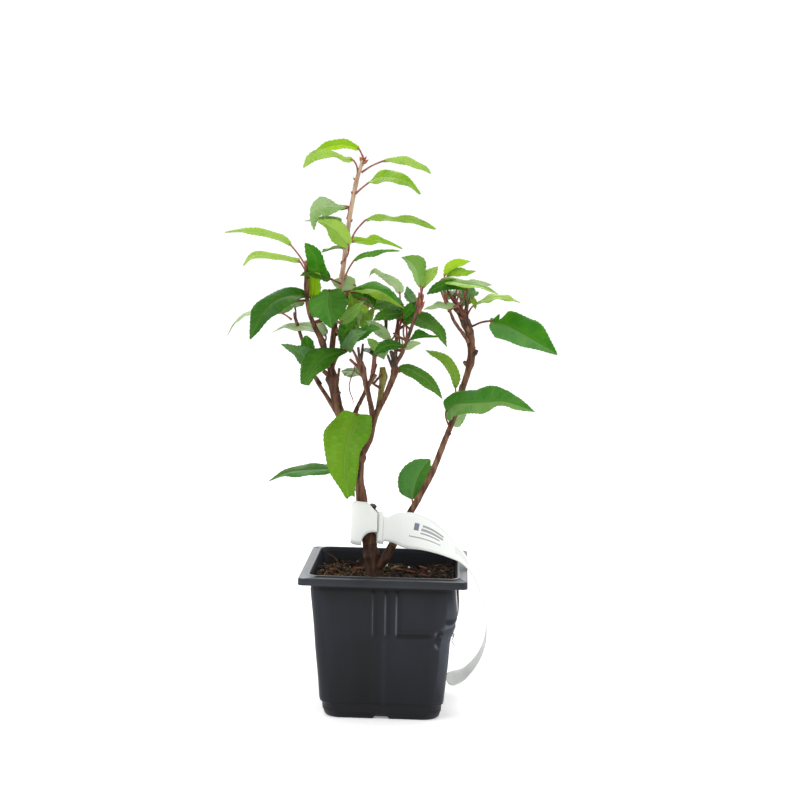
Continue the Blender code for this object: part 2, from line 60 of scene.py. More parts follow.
# The camera, fitted to the corners of the pot's rim and foot; angles in degrees
CAMERA_PLACE = (38.0, -861.0, 257.0)
CAMERA_PITCH = 5.72
CAMERA_YAW = -2.15
CAMERA_ROLL = 1.17
CAMERA_LENS = 70.8
CAMERA_SENSOR = 36.0
CAMERA_NEAR = 0.01

# Light: how bright the floor glows, the world before and behind the pot and where it changes, in metres the
# floor's reach and the lamps' aim, and each lamp's name, place, size and power
FLOOR_GLOW = 0.22
FLOOR_REACH = 90.0
WORLD_FRONT = 0.8
WORLD_BACK = 1.05
WORLD_CHANGE = (-0.7, 0.3)
LAMP_AIM = (0, 0, 0.15)
LAMPS = (("key", (-0.9, -0.9, 1.4), (1.4, 1.4), 12), ("fill", (1.4, -0.3, 1.0), (1.4, 1.4), 7),
         ("back", (-0.3, 1.5, 1.2), (1.6, 1.0), 12))

# The pot: heights of its parts, half widths, and how finely its rings are cut
POT_TOP = 80.0
LIP_TOP = 79.0
LIP_LOW = 75.3
RIM_HALF = 45.0
RIM_INNER = 40.0
WALL = 1.0
FOOT_HALF = 33.0
WALL_SLOPE = 0.083
WALL_TOP = 76.0
WALL_RINGS = 84
SIDE_POINTS = 116
CORNER_POINTS = 8
CORNER_TOP = 5.6
CORNER_SPREAD = 0.012
NOTCH_HALF = 3.6
NOTCH_BLEND = 1.5
NOTCH_RISE = 2.6

# Compost: its level, its gap to the wall, its corners, its lumps (height, size, seed), the mound round the
# trunk, and the heaps at both sides of the front (start, full, rise) that fade to the back
SOIL = 72.0
SOIL_GAP = 0.25
SOIL_CORNER = 6.5
SOIL_COLUMNS = 86
SOIL_LUMPS = ((0.9, 17.0, 21), (0.5, 6.0, 22), (0.3, 2.6, 23))
SOIL_LOWERED = 0.6
MOUND_PLACE = -7
MOUND_RISE = 1.4
MOUND_SPREAD = 120.0
HEAP_LEFT = (12, 35, 4.0)
HEAP_RIGHT = (16, 35, 3.0)
HEAP_FADE = (-2, 22)

# Litter on the compost: how many crumbs, how large, how far from the wall, and left of where straw lies
CRUMBS = 1100
CRUMB_SIZE = (0.35, 1.3)
LITTER_GAP = 1.75
STRAW_BELOW = -12
# Chips of bark: points round one and rows along it, half its thickness, its bend, and its ragged ends
CHIP_SIDES = 8
CHIP_ROWS = 9
CHIP_HALF_THICKNESS = 0.6
CHIP_BEND = 0.14
CHIP_END = 0.12
CHIP_RAGGED = 0.1
# Loose fibres: how many, the share that lies at the front left, places in x and y, and how one runs
FIBRES = 130
FIBRES_LEFT = 0.75
FIBRE_PLACES = ((-34, -8), (-33, 4))
FIBRE_PLACES_ALL = ((-34, 34), (-33, 33))
FIBRE_LIMIT = 35
FIBRE_LENGTH = (4, 11)
FIBRE_RADIUS = (0.14, 0.32)
FIBRE_HEIGHT = (0.3, 1.9)
FIBRE_BEND = 0.7
FIBRE_STEPS = 3

# Limbs: spacing of a limb's rings, its sides, and rows of a stub, a leaf stalk and a search along a limb
LIMB_ROW = 0.75
LIMB_SIDES = 22
STUB_ROWS = 14
STUB_SIDES = 10
STALK_ROWS = 18
STALK_SIDES = 8
SEARCH_ROWS = 60
BARK_SPOTS = 70

# Leaf blades: rows along, places across each half, smoothing of the outline, and relief
LEAF_ROWS = 64
LEAF_SPREAD = (0.2, 0.42, 0.66, 0.86, 1.0)
ROLL_STEPS = 10
WIDTH_SMOOTHING = 10
BASE_ROUNDING = 0.05
LENS_BASE = 0.62
LENS_TIP = 1.1
MIDRIB_HALF = 0.2
MIDRIB_SINK = 0.2
BLADE_THICKNESS = 0.28
KEEL = 0.7
KEEL_SHARES = ((0, 1.0), (-1, 0.4), (1, 0.4))
TOOTH_PITCH = 2.3
TOOTH_SIZE = 0.5
EDGE_WAVE = 3.1
EDGE_RISE = 0.25
BLADE_SWELLS = (1.6, 2.8)
BLADE_SWAY = (0.5, 1.1)
SWAY_WIDTH = 9
BASE_FOLD = 22
VEIN_PITCH = 4.6
VEIN_SLANT = 0.75
VEIN_DEPTH = 0.13

# Leaves grown on the hidden side: steps along a limb, tries for each twig and leaf, rows of a twig and
# those where leaves start, and how long leaves and twigs are
GROWTH_STEP = 4.0
GROWTH_TRIES = 14
TWIG_ROWS = 20
TWIG_LEAVES = (8, 12, 15, 19)
GROWN_LENGTH = (20, 37)
GROWN_TWIG = (8, 26)
GROWN_STALK = (4, 7)
# How far a grown leaf's heading may be from its twig's, least and most along each axis
GROWN_STRAY = ((-0.8, -0.4, -0.2), (0.8, 0.4, 0.5))
# How far a grown leaf's tip hangs, and its width, both as shares of its length
GROWN_DROP = 0.35
GROWN_WIDTH = (0.36, 0.44)
# A grown leaf's fold, roll, lean and turn, as in a row of LEAVES
GROWN_FOLD, GROWN_ROLL, GROWN_LEAN, GROWN_TURN = 12, 20, (-30, 10), (-0.3, 0.3)

# A leaf's skins by their place in its list, and those of its upper side from darkest to lightest patch
SKINS = 7
LIGHT_SKIN = 1
BELOW_SKIN = 2
RIB_SKIN = 3
LEVEL_SKINS = np.array((6, 4, 0, 1, 5))
PATCH_SIZE = 9.0

# How much the label's film glows, to stay as light as in the photo
FILM_GLOW = 0.06

# What the light of this scene does to a leaf's own colour: it is multiplied, and a little gloss is added
LIGHT_GAIN = 1.4
GLOSS_LIFT = 0.014
LEAST_COLOUR = 0.003

# The tones of the leaves as they look in this light; pale and frost are partly paler leaves and partly a
# painted whitish sheen
TONES = {
    "dark": (58, 107, 24), "deep": (69, 119, 42), "blue": (76, 134, 52), "grass": (68, 134, 26),
    "mid": (80, 128, 48), "grey": (104, 146, 90), "greyleaf": (96, 150, 78), "soft": (126, 170, 78),
    "yellow": (128, 166, 48), "olive": (104, 150, 44), "sage": (150, 188, 112), "leafy": (108, 154, 40),
    "bright": (142, 190, 46), "acid": (150, 198, 32), "lime": (172, 208, 92), "pale": (172, 200, 142),
    "spring": (152, 192, 76), "fresh": (84, 148, 44), "frost": (198, 220, 168), "citrus": (176, 220, 40),
    "silver": (118, 160, 84)}
RIB_TINT = (206, 218, 160)
UNDER_TINT = (158, 182, 128)
LIGHT_TINT = (196, 218, 110)
SHADE_TINT = (16, 62, 6)
# The skins made of each tone: name, the tint mixed into the tone and its share, roughness
SKIN_MIXES = (("above", LIGHT_TINT, 0.0, 0.46), ("light", LIGHT_TINT, 0.07, 0.46),
              ("below", UNDER_TINT, 0.45, 0.62), ("rib", RIB_TINT, 0.24, 0.55),
              ("shade", SHADE_TINT, 0.08, 0.44), ("lighter", LIGHT_TINT, 0.15, 0.48),
              ("darker", SHADE_TINT, 0.17, 0.42))


def linear(red, green, blue):
    """A colour as read off a screen, 0 to 255, turned into the linear values of a material."""
    shares = [value / 255 for value in (red, green, blue)]
    return tuple(v / 12.92 if v <= 0.04045 else ((v + 0.055) / 1.055) ** 2.4 for v in shares)


def mixed(first, second, share):
    return tuple(a + (b - a) * share for a, b in zip(first, second))


def unit(vector):
    length = np.linalg.norm(vector)
    return vector / length if length > 1e-9 else vector


def run_along(points):
    """How far along a route each of its points is."""
    steps = np.linalg.norm(np.diff(np.array(points, float)[:, :3], axis=0), axis=1)
    return np.concatenate([[0], np.cumsum(steps)])


def route_length(points):
    return float(run_along(points)[-1])


def smooth_route(rows, count):
    """Rows of a route joined by a smooth curve and cut into evenly spaced rows."""
    rows = np.array(rows, float)
    ends = np.vstack([2 * rows[0] - rows[1], rows, 2 * rows[-1] - rows[-2]])
    fine = []
    for i in range(1, len(ends) - 2):
        a, b, c, d = ends[i - 1:i + 3]
        for t in np.linspace(0, 1, 16, endpoint=False):
            fine.append(0.5 * (2 * b + (c - a) * t + (2 * a - 5 * b + 4 * c - d) * t * t
                               + (3 * b - a - 3 * c + d) * t ** 3))
    fine = np.array(fine + [rows[-1]])
    run = run_along(fine)
    at = np.linspace(0, run[-1], count)
    return np.column_stack([np.interp(at, run, fine[:, k]) for k in range(fine.shape[1])])


def tangents_of(points):
    tangents = np.gradient(points, axis=0)
    return tangents / np.maximum(np.linalg.norm(tangents, axis=1), 1e-9)[:, None]


def ripple(points, size, seed, count=7):
    """Smooth uneven values between about -1 and 1, with swells of the given size in millimetres."""
    source = np.random.default_rng(seed)
    total = np.zeros(len(points))
    for _ in range(count):
        direction = unit(source.normal(size=3)) * 2 * math.pi / (size * source.uniform(0.7, 1.6))
        total += np.sin(points @ direction + source.uniform(0, 2 * math.pi))
    return total / math.sqrt(count)


def ripples(points, rows):
    """The sum of ripples, each given as its height, size and seed."""
    return sum(height * ripple(points, size, seed) for height, size, seed in rows)


def step_between(value, low, high):
    share = np.clip((value - low) / (high - low), 0, 1)
    return share * share * (3 - 2 * share)


def plateau(value, start, full, fade, end):
    """Rises from 0 to 1 between start and full, and falls back to 0 between fade and end."""
    return step_between(value, start, full) * (1 - step_between(value, fade, end))


def hump(value, centre, width):
    return np.exp(-((value - centre) / width) ** 2)


def humps(value, rows):
    """The sum of smooth humps, each given as its centre, half width and height."""
    return sum(height * hump(value, centre, width) for centre, width, height in rows)


def rounding(share):
    """Rises from 0 to 1 as a quarter circle."""
    return np.sqrt(1 - (1 - np.clip(share, 0, 1)) ** 2)


class Shape:
    """The points and faces of one piece while it is put together."""

    def __init__(self):
        self.points = []
        self.faces = []
        self.marks = []
        self.count = 0

    def add(self, points, faces, marks):
        points = np.array(points, float).reshape(-1, 3)
        self.points.append(points)
        self.faces.extend(tuple(self.count + i for i in face) for face in faces)
        self.marks.extend([marks] * len(faces) if isinstance(marks, int) else marks)
        self.count += len(points)

    def grid(self, grid, mark=0, wrap=False, caps=False):
        """A sheet of rows and columns; wrap joins its last column to the first, caps close both ends."""
        rows, columns = grid.shape[:2]
        faces, marks = [], []
        for r in range(rows - 1):
            a, b = r * columns, (r + 1) * columns
            for c in range(columns if wrap else columns - 1):
                d = (c + 1) % columns
                faces.append((a + c, a + d, b + d, b + c))
                marks.append(mark if isinstance(mark, int) else int(mark[r][c]))
        if caps:
            faces.append(tuple(range(columns - 1, -1, -1)))
            faces.append(tuple((rows - 1) * columns + c for c in range(columns)))
            marks += [marks[0], marks[-1]]
        self.add(grid, faces, marks)


def tube(shape, route, mark, sides, relief=None):
    """A round skin along the rows (x, y, z, radius) of a route; relief gives it an uneven rise."""
    first = np.array((0.9, 0.4, 0.2))
    out = []
    turns = np.linspace(0, 2 * math.pi, sides, endpoint=False)
    for tangent in tangents_of(route[:, :3]):
        first = unit(first - tangent * (first @ tangent))
        second = np.cross(tangent, first)
        out.append(first * np.cos(turns)[:, None] + second * np.sin(turns)[:, None])
    out = np.array(out)
    grid = route[:, None, :3] + route[:, None, 3:] * out
    if relief:
        grid += relief(grid, route, turns)[:, :, None] * out
    shape.grid(grid, mark, wrap=True, caps=True)


def new_object(name, data):
    item = bpy.data.objects.new(name, data)
    bpy.context.scene.collection.objects.link(item)
    return item


def make_piece(name, shape, materials, nodes=(), painted_light=None):
    """Makes one piece of the plant; the last argument gives each point painted light or shade for its
    material.
    """
    mesh = bpy.data.meshes.new(name)
    mesh.from_pydata((np.vstack(shape.points) * MM).tolist(), [], shape.faces)
    mesh.polygons.foreach_set("material_index", shape.marks)
    mesh.polygons.foreach_set("use_smooth", [True] * len(mesh.polygons))
    for item in materials:
        mesh.materials.append(item)
    if painted_light is not None:
        mesh.attributes.new("painted_light", "FLOAT", "POINT").data.foreach_set("value", painted_light)
    mesh.update()
    piece = new_object(name, mesh)
    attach(piece, "root")
    if nodes:
        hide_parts(*nodes)
    return piece


def new_material(name, colour, roughness, specular):
    item = bpy.data.materials.new(name)
    item.use_nodes = True
    item.diffuse_color = (*colour, 1)
    surface = item.node_tree.nodes["Principled BSDF"]
    surface.inputs["Base Color"].default_value = (*colour, 1)
    surface.inputs["Roughness"].default_value = roughness
    surface.inputs["Specular IOR Level"].default_value = specular
    return item, item.node_tree.nodes, item.node_tree.links, surface


def add_glow(surface, colour, strength):
    surface.inputs["Emission Color"].default_value = (*colour, 1)
    surface.inputs["Emission Strength"].default_value = strength


def noise_node(nodes, links, scale, detail, stretch=(1, 1, 1)):
    where = nodes.new("ShaderNodeTexCoord")
    squeeze = nodes.new("ShaderNodeMapping")
    squeeze.inputs["Scale"].default_value = stretch
    links.new(where.outputs["Object"], squeeze.inputs["Vector"])
    pattern = nodes.new("ShaderNodeTexNoise")
    pattern.inputs["Scale"].default_value = scale
    pattern.inputs["Detail"].default_value = detail
    links.new(squeeze.outputs["Vector"], pattern.inputs["Vector"])
    return pattern.outputs["Fac"]


def ramp_node(nodes, links, source, stops):
    ramp = nodes.new("ShaderNodeValToRGB")
    links.new(source, ramp.inputs["Fac"])
    while len(ramp.color_ramp.elements) < len(stops):
        ramp.color_ramp.elements.new(0.5)
    for element, (place, colour) in zip(ramp.color_ramp.elements, stops):
        element.position = place
        element.color = (*colour, 1)
    return ramp.outputs["Color"]


def range_node(nodes, links, source, given, wanted):
    """Maps the given range of a pattern onto the wanted one."""
    spread = nodes.new("ShaderNodeMapRange")
    for name, value in zip(("From Min", "From Max", "To Min", "To Max"), (*given, *wanted)):
        spread.inputs[name].default_value = value
    links.new(source, spread.inputs["Value"])
    return spread.outputs["Result"]


def rough_node(nodes, links, source, surface, low, high):
    """Lets the roughness follow the middle of a noise pattern."""
    links.new(range_node(nodes, links, source, (0.3, 0.7), (low, high)), surface.inputs["Roughness"])


def bump_node(nodes, links, source, surface, strength, depth):
    bump = nodes.new("ShaderNodeBump")
    bump.inputs["Strength"].default_value = strength
    bump.inputs["Distance"].default_value = depth * MM
    links.new(source, bump.inputs["Height"])
    links.new(bump.outputs["Normal"], surface.inputs["Normal"])


def leaf_skin(name, seen, roughness):
    """A leaf's skin: one plain colour, with a fine grain in its gloss and relief."""
    colour = tuple(max(LEAST_COLOUR, (value - GLOSS_LIFT) / LIGHT_GAIN) for value in linear(*seen))
    item, nodes, links, surface = new_material(name, colour, roughness, specular=0.12)
    grain = noise_node(nodes, links, scale=520.0, detail=3.0)
    rough_node(nodes, links, grain, surface, roughness - 0.07, roughness + 0.09)
    bump_node(nodes, links, grain, surface, strength=0.14, depth=0.12)
    surface.inputs["Subsurface Weight"].default_value = 0.2
    surface.inputs["Subsurface Radius"].default_value = (0.5, 1.0, 0.25)
    surface.inputs["Subsurface Scale"].default_value = 0.0012
    return item


def leaf_skins():
    """The skins of each tone, in the order of SKIN_MIXES."""
    return {tone: [leaf_skin(f"leaf_{tone}_{part}", mixed(seen, tint, share), roughness)
                   for part, tint, share, roughness in SKIN_MIXES] for tone, seen in TONES.items()}


def patterned(name, stops, scale, stretch, rough, bump, depth, specular=0.3, painted_light=0.0):
    """A mottled skin whose gloss and relief follow the same pattern, and whose colour follows painted light
    and shade on the mesh.
    """
    stops = [(place, linear(*colour)) for place, colour in stops]
    item, nodes, links, surface = new_material(name, stops[1][1], sum(rough) / 2, specular)
    pattern = noise_node(nodes, links, scale, 5.0, stretch)
    shade = pattern
    # Painted light and shade stored on the mesh move the pattern along the colour ramp
    if painted_light:
        light_node = nodes.new("ShaderNodeAttribute")
        light_node.attribute_name = "painted_light"
        total = nodes.new("ShaderNodeMath")
        total.operation = "MULTIPLY_ADD"
        total.inputs[1].default_value = painted_light
        links.new(light_node.outputs["Fac"], total.inputs[0])
        links.new(pattern, total.inputs[2])
        shade = total.outputs["Value"]
    links.new(ramp_node(nodes, links, shade, stops), surface.inputs["Base Color"])
    rough_node(nodes, links, pattern, surface, *rough)
    bump_node(nodes, links, pattern, surface, bump, depth)
    return item


def bark(name, bump, stops):
    return patterned(name, stops, 420.0, (1, 1, 0.22), rough=(0.88, 0.62), bump=bump, depth=0.35)


def litter(name, low, high, scale):
    stops = [(0.38, low), (0.68, high)]
    return patterned(name, stops, scale, (1, 1, 1), rough=(0.98, 0.86), bump=0.8, depth=0.8, specular=0.15)


def film(name, colour, glow=FILM_GLOW):
    item, nodes, links, surface = new_material(name, linear(*colour), roughness=0.36, specular=0.4)
    rough_node(nodes, links, noise_node(nodes, links, scale=60.0, detail=3.0), surface, 0.3, 0.46)
    grain = noise_node(nodes, links, scale=1500.0, detail=2.0)
    bump_node(nodes, links, grain, surface, strength=0.06, depth=0.03)
    add_glow(surface, linear(*colour), glow)
    return item


# Marks pressed into the pot's front wall, along from its middle: humps and grooves are (centre, half width,
# size), a reach is (start, full, fade, end), and unevenness is (height, size, seed)
RIBS = (-4.8, 1.9, 7.8)
RIB_HALF_WIDTH = 0.7
RIB_RISE = 1.1
RIB_FOOT = 46.0
RIB_REACH = (RIB_FOOT, RIB_FOOT + 1.5, 70.0, 72.5)
CHANNEL = ((1.0, 7.5, 0.45), (1.0, 2.0, -0.35))
CHANNEL_TOP = (RIB_FOOT - 5.0, RIB_FOOT + 1.0)
BAND_HEIGHT = 9.2
BAND_GROOVE = (BAND_HEIGHT, 0.6, 0.5)
TOP_GROOVE = (73.5, 1.2, 0.5)
WALL_SWELL = (0.16, 26.0, 5)
WALL_GRAIN = (0.05, 9.0, 6)
CREASE_HEIGHT = 46.9
CREASE_SLOPE = 0.035
CREASE_START = 8.5
CREASE_REACH = (6.0, 9.5, 24.0, 31.0)
CREASE_SHAPE = ((0.0, 0.9, 0.9), (2.2, 1.0, -0.45))
CRUMPLE_CENTRE = (31.6, 46.0)
CRUMPLE_HALF = (3.6, 5.4)
CRUMPLE_REACH = 6.0
CRUMPLE_RISE = 0.9
CRUMPLE_FOLDS = ((0.6, 5.0, 8), (0.42, 3.0, 9))
FOLD_START = (31.0, 49.0)
FOLD_SLOPE = 0.85
# The right wall's bulge above the crease, where its front corner is pressed in, and where the corner
# swells; the reaches are in x, y or height
BULGE = 2.3
BULGE_START = (27.0, 35.0)
BULGE_REACH = (44.0, 54.0, 56.0, 73.0)
PRESSED_IN = 0.9
PRESSED_HALF = 1.1
PRESSED_X = (29.5, 32.5)
PRESSED_Y = (-30.0, -18.0)
SWOLLEN = (53.0, 4.0, 0.7)
SWOLLEN_Y = (-28.0, -16.0)
# Painted highlights (above 0) and painted shade on the walls, with a broad lighter patch: centre, half
# width, how much
RIB_SHINE = ((-0.3, 0.6, 0.56), (1.5, 1.2, -0.2))
RIB_SHINE_REACH = (RIB_FOOT, RIB_FOOT + 3.0, 69.0, 73.0)
CHANNEL_SHINE = ((1.0, 1.3, 0.18), (-4.6, 1.0, 0.08), (-9.0, 8.0, -0.14))
CHANNEL_SHINE_TOP = (RIB_FOOT - 4.0, RIB_FOOT + 2.0)
TOP_SHADE = (72.5, 2.5, -0.25)
# A broad lighter patch on the front, and the heights over which it comes in
LIGHTER_PATCH = (12.0, 15.0, 0.05)
LIGHTER_PATCH_START = (44.0, 60.0)
CREASE_SHINE = ((-1.6, 0.9, 0.16), (0.4, 1.3, -0.4))
CRUMPLE_SHINE = (1.0, 0.22, 0.4)
CRUMPLE_SHADE = (0.45, 0.35, -0.2)
CRUMPLE_BREAKS = 5
FOLD_SHINE = ((-1.0, 0.9, 0.32), (1.0, 1.4, -0.3))
FOLD_SHINE_START = (29.0, 31.0)
BAND_SHINE = ((0.5, 0.6, 0.12), (-1.2, 1.0, -0.2))
EDGE_SHINE = 0.3
EDGE_WIDTH = 12.0
WALL_SHADE = 0.1
LOW_SHADE = 0.14
LOW_REACH = (6.0, 44.0)
HIGH_SHADE = 0.08
HIGH_REACH = (60.0, 70.0)
# A painted highlight down the right wall's bulge: how much, the heights it spans, and where it fades along
# the wall
RIGHT_HIGHLIGHT = 0.42
RIGHT_HIGHLIGHT_REACH = (36.0, 54.0, 69.0, 74.0)
RIGHT_HIGHLIGHT_FADE = (-30.0, 16.0)


def wall_half(height):
    return FOOT_HALF + WALL_SLOPE * height


def square_ring(half, corner, height):
    """Points round a square with round corners; each with its side (0 is the front) and place along it."""
    flat = half - corner
    rows = [(along, -half, along) for along in np.linspace(-flat, flat, SIDE_POINTS)]
    for bend in np.radians(90 * np.arange(1, CORNER_POINTS) / CORNER_POINTS):
        rows.append((flat + corner * math.sin(bend), -flat - corner * math.cos(bend), half))
    x, y, along = np.array(rows).T
    points = []
    for turn in np.radians(90.0 * np.arange(4)):
        sine, cosine = math.sin(turn), math.cos(turn)
        turned = (x * cosine - y * sine, x * sine + y * cosine, np.full(len(x), height))
        points.append(np.column_stack(turned))
    return np.vstack(points), np.repeat(np.arange(4), len(x)), np.tile(along, 4)


def above_crease(along, height):
    return height - (CREASE_HEIGHT + CREASE_SLOPE * (along - CREASE_START))


def above_fold(along, height):
    return height - (FOLD_START[1] + FOLD_SLOPE * (along - FOLD_START[0]))


def crumple(side, along, height):
    """How far the outer wall stands out at a place: ribs, base band, and the dent at the front right."""
    out = np.zeros(len(along))
    for rib in RIBS:
        out += RIB_RISE * plateau(height, *RIB_REACH) * hump(along, rib, RIB_HALF_WIDTH)
    out -= (1 - step_between(height, *CHANNEL_TOP)) * humps(along, CHANNEL)
    out -= humps(height, (BAND_GROOVE, TOP_GROOVE))
    spots = np.column_stack([along + 100 * side, np.full(len(along), height), side * 30.0])
    out += ripples(spots, (WALL_SWELL,)) + ripples(spots * (1, 0.3, 1), (WALL_GRAIN,))
    crease = humps(above_crease(along, height), CREASE_SHAPE) * plateau(along, *CREASE_REACH)
    over, up = along - CRUMPLE_CENTRE[0], height - CRUMPLE_CENTRE[1]
    ring = hump(np.hypot(over / CRUMPLE_HALF[0], up / CRUMPLE_HALF[1]), 1.0, 0.25)
    near = hump(np.hypot(over / CRUMPLE_REACH, up / CRUMPLE_REACH), 0.0, 1.0)
    dent = CRUMPLE_RISE * ring + near * ripples(spots, CRUMPLE_FOLDS) - crease
    return out + np.where(side == 0, dent, 0)


def painted_light_at(side, along, height):
    """How much painted light (above 0) or painted shade the front and right walls get at a place."""
    value = humps(height, (TOP_SHADE,)) + humps(along, (LIGHTER_PATCH,)) * step_between(height, *LIGHTER_PATCH_START)
    for rib in RIBS:
        value += plateau(height, *RIB_SHINE_REACH) * humps(along - rib, RIB_SHINE)
    value += (1 - step_between(height, *CHANNEL_SHINE_TOP)) * humps(along, CHANNEL_SHINE)
    value += humps(above_crease(along, height), CREASE_SHINE) * plateau(along, *CREASE_REACH)
    over, up = (along - CRUMPLE_CENTRE[0]) / CRUMPLE_HALF[0], (height - CRUMPLE_CENTRE[1]) / CRUMPLE_HALF[1]
    reach = np.hypot(over, up)
    broken = 0.5 + 0.5 * np.sin(CRUMPLE_BREAKS * np.arctan2(up, over) + 1.0)
    value += broken * humps(reach, (CRUMPLE_SHINE,)) + humps(reach, (CRUMPLE_SHADE,))
    value += humps(above_fold(along, height), FOLD_SHINE) * step_between(along, *FOLD_SHINE_START)
    edge = wall_half(height)
    value += EDGE_SHINE * step_between(np.abs(along), edge - EDGE_WIDTH, edge - 1.0)
    value -= WALL_SHADE + LOW_SHADE * (1 - step_between(height, *LOW_REACH))
    value -= HIGH_SHADE * step_between(height, *HIGH_REACH)
    value += humps(height - BAND_HEIGHT, BAND_SHINE)
    right_highlight = RIGHT_HIGHLIGHT * plateau(height, *RIGHT_HIGHLIGHT_REACH) * (1 - step_between(along, *RIGHT_HIGHLIGHT_FADE))
    return np.where(side == 0, value, np.where(side == 1, right_highlight, 0.0))


def corner_dent(points, height):
    """Bows the right wall out above the crease, and presses its front corner in below it."""
    x, y = points[:, 0], points[:, 1]
    on_right = step_between(x, *BULGE_START)
    bowed = x + on_right * BULGE * plateau(height, *BULGE_REACH)
    pressed = step_between(bowed, *PRESSED_X) * (1 - step_between(y, *PRESSED_Y))
    pressed = pressed * hump(above_fold(x, height), 0.0, PRESSED_HALF)
    moved = y + pressed
    swollen = humps(height, (SWOLLEN,)) * on_right * (1 - step_between(moved, *SWOLLEN_Y))
    return np.column_stack([bowed - PRESSED_IN * pressed, moved - swollen, points[:, 2]])


# The pot's skins: name, darker and lighter colour, roughness, gloss; then their places in the list. All are
# one black
# plastic: the rim's front is painted a little lighter, the rim's sides and the mouth's edge much lighter as
# a painted highlight, and the inside darker as painted shade.
POT_SKINS = (("wall", (16, 18, 24), (30, 33, 41), (0.36, 0.52), 0.22),
             ("rim_front", (22, 24, 29), (38, 41, 47), (0.34, 0.46), 0.3),
             ("rim_highlight", (72, 76, 82), (104, 108, 114), (0.3, 0.42), 0.45),
             ("inside", (11, 12, 17), (21, 22, 30), (0.5, 0.65), 0.25),
             ("side_wall", (16, 18, 24), (30, 33, 41), (0.22, 0.32), 0.5))
WALL_SKIN = 0
RIM_SKIN = 1
RIM_HIGHLIGHT_SKIN = 2
SHADED_INSIDE_SKIN = 3
SIDE_WALL_SKIN = 4
# The ramp's ends, reached where painted shade and painted highlights push the plastic's mottle
PLASTIC_BLACK = (4, 5, 8)
PLASTIC_HIGHLIGHT = (76, 81, 89)
# Rings of the inside from its floor up: half width, corner, height
INSIDE_RINGS = (
    (wall_half(1.2) - WALL - 2.0, 7.0, 1.2), (wall_half(4.0) - WALL, 7.5, 4.0),
    (wall_half(60.0) - WALL, 7.0, 60.0), (wall_half(66.0) - WALL, 6.8, 66.0),
    (wall_half(70.0) - WALL, 6.6, 70.0), (wall_half(72.0) - WALL, 6.4, 72.5))
# Rings of the mouth, its edge, the rim's top, its lip, and under it to the wall
MOUTH_RINGS = ((RIM_INNER - 0.9, 6.0, 77.6), (RIM_INNER - 0.6, 5.8, 79.3))
EDGE_RINGS = ((RIM_INNER - 0.3, 5.8, 79.85), (RIM_INNER + 0.1, 5.6, POT_TOP))
TOP_RINGS = (
    (RIM_INNER + 0.7, 5.4, POT_TOP), (RIM_INNER + 1.1, 5.3, POT_TOP - 0.3),
    (RIM_INNER + 1.5, 5.2, POT_TOP - 0.75), (RIM_HALF - 0.8, 3.2, LIP_TOP + 0.1))
LIP_RINGS = (
    (RIM_HALF - 0.25, 3.0, LIP_TOP), (RIM_HALF, 3.0, LIP_TOP - 0.5), (RIM_HALF + 0.15, 3.0, LIP_LOW + 0.5),
    (RIM_HALF + 0.1, 3.0, LIP_LOW), (RIM_HALF - 0.6, 2.8, LIP_LOW))
UNDER_RINGS = (
    (RIM_HALF - WALL, 2.8, LIP_LOW + 0.4), (RIM_HALF - WALL - 0.3, 2.8, LIP_TOP - WALL),
    (wall_half(76.5) + 0.8, 6.0, 77.0))
# The parts from the inside to the wall, with their skins at the front and back and at the sides
RIM_PARTS = ((INSIDE_RINGS, SHADED_INSIDE_SKIN, SHADED_INSIDE_SKIN), (MOUTH_RINGS, WALL_SKIN, WALL_SKIN),
             (EDGE_RINGS, RIM_HIGHLIGHT_SKIN, RIM_HIGHLIGHT_SKIN), (TOP_RINGS, RIM_SKIN, RIM_HIGHLIGHT_SKIN),
             (LIP_RINGS, RIM_SKIN, RIM_SKIN), (UNDER_RINGS, WALL_SKIN, WALL_SKIN))
# Rings below the base band and of the underside, each with its inset from the wall, corner and height
FOOT_RINGS = (
    (0.15, 6.2, 9.0), (0.6, 6.4, 8.6), (0.95, 6.6, 8.2), (1.05, 6.8, 7.6), (1.15, 7.2, 5.0),
    (1.35, 7.8, 3.0), (1.5, 8.2, 1.6), (1.8, 8.6, 0.6), (2.2, 8.8, 0.1), (2.7, 8.8, 0.0), (9.0, 7.0, 0.0))
FLOOR_RING = (15.0, 5.0, 0.6)


def pot_marks(rings, side):
    """The skin of each face between a ring and the next."""
    marks = np.full((rings - 1, len(side)), WALL_SKIN)
    row = 0
    for part, front_skin, side_skin in RIM_PARTS:
        marks[row:row + len(part)] = np.where(side % 2, side_skin, front_skin)
        row += len(part)
    marks[row:-1, side == 1] = SIDE_WALL_SKIN
    return marks


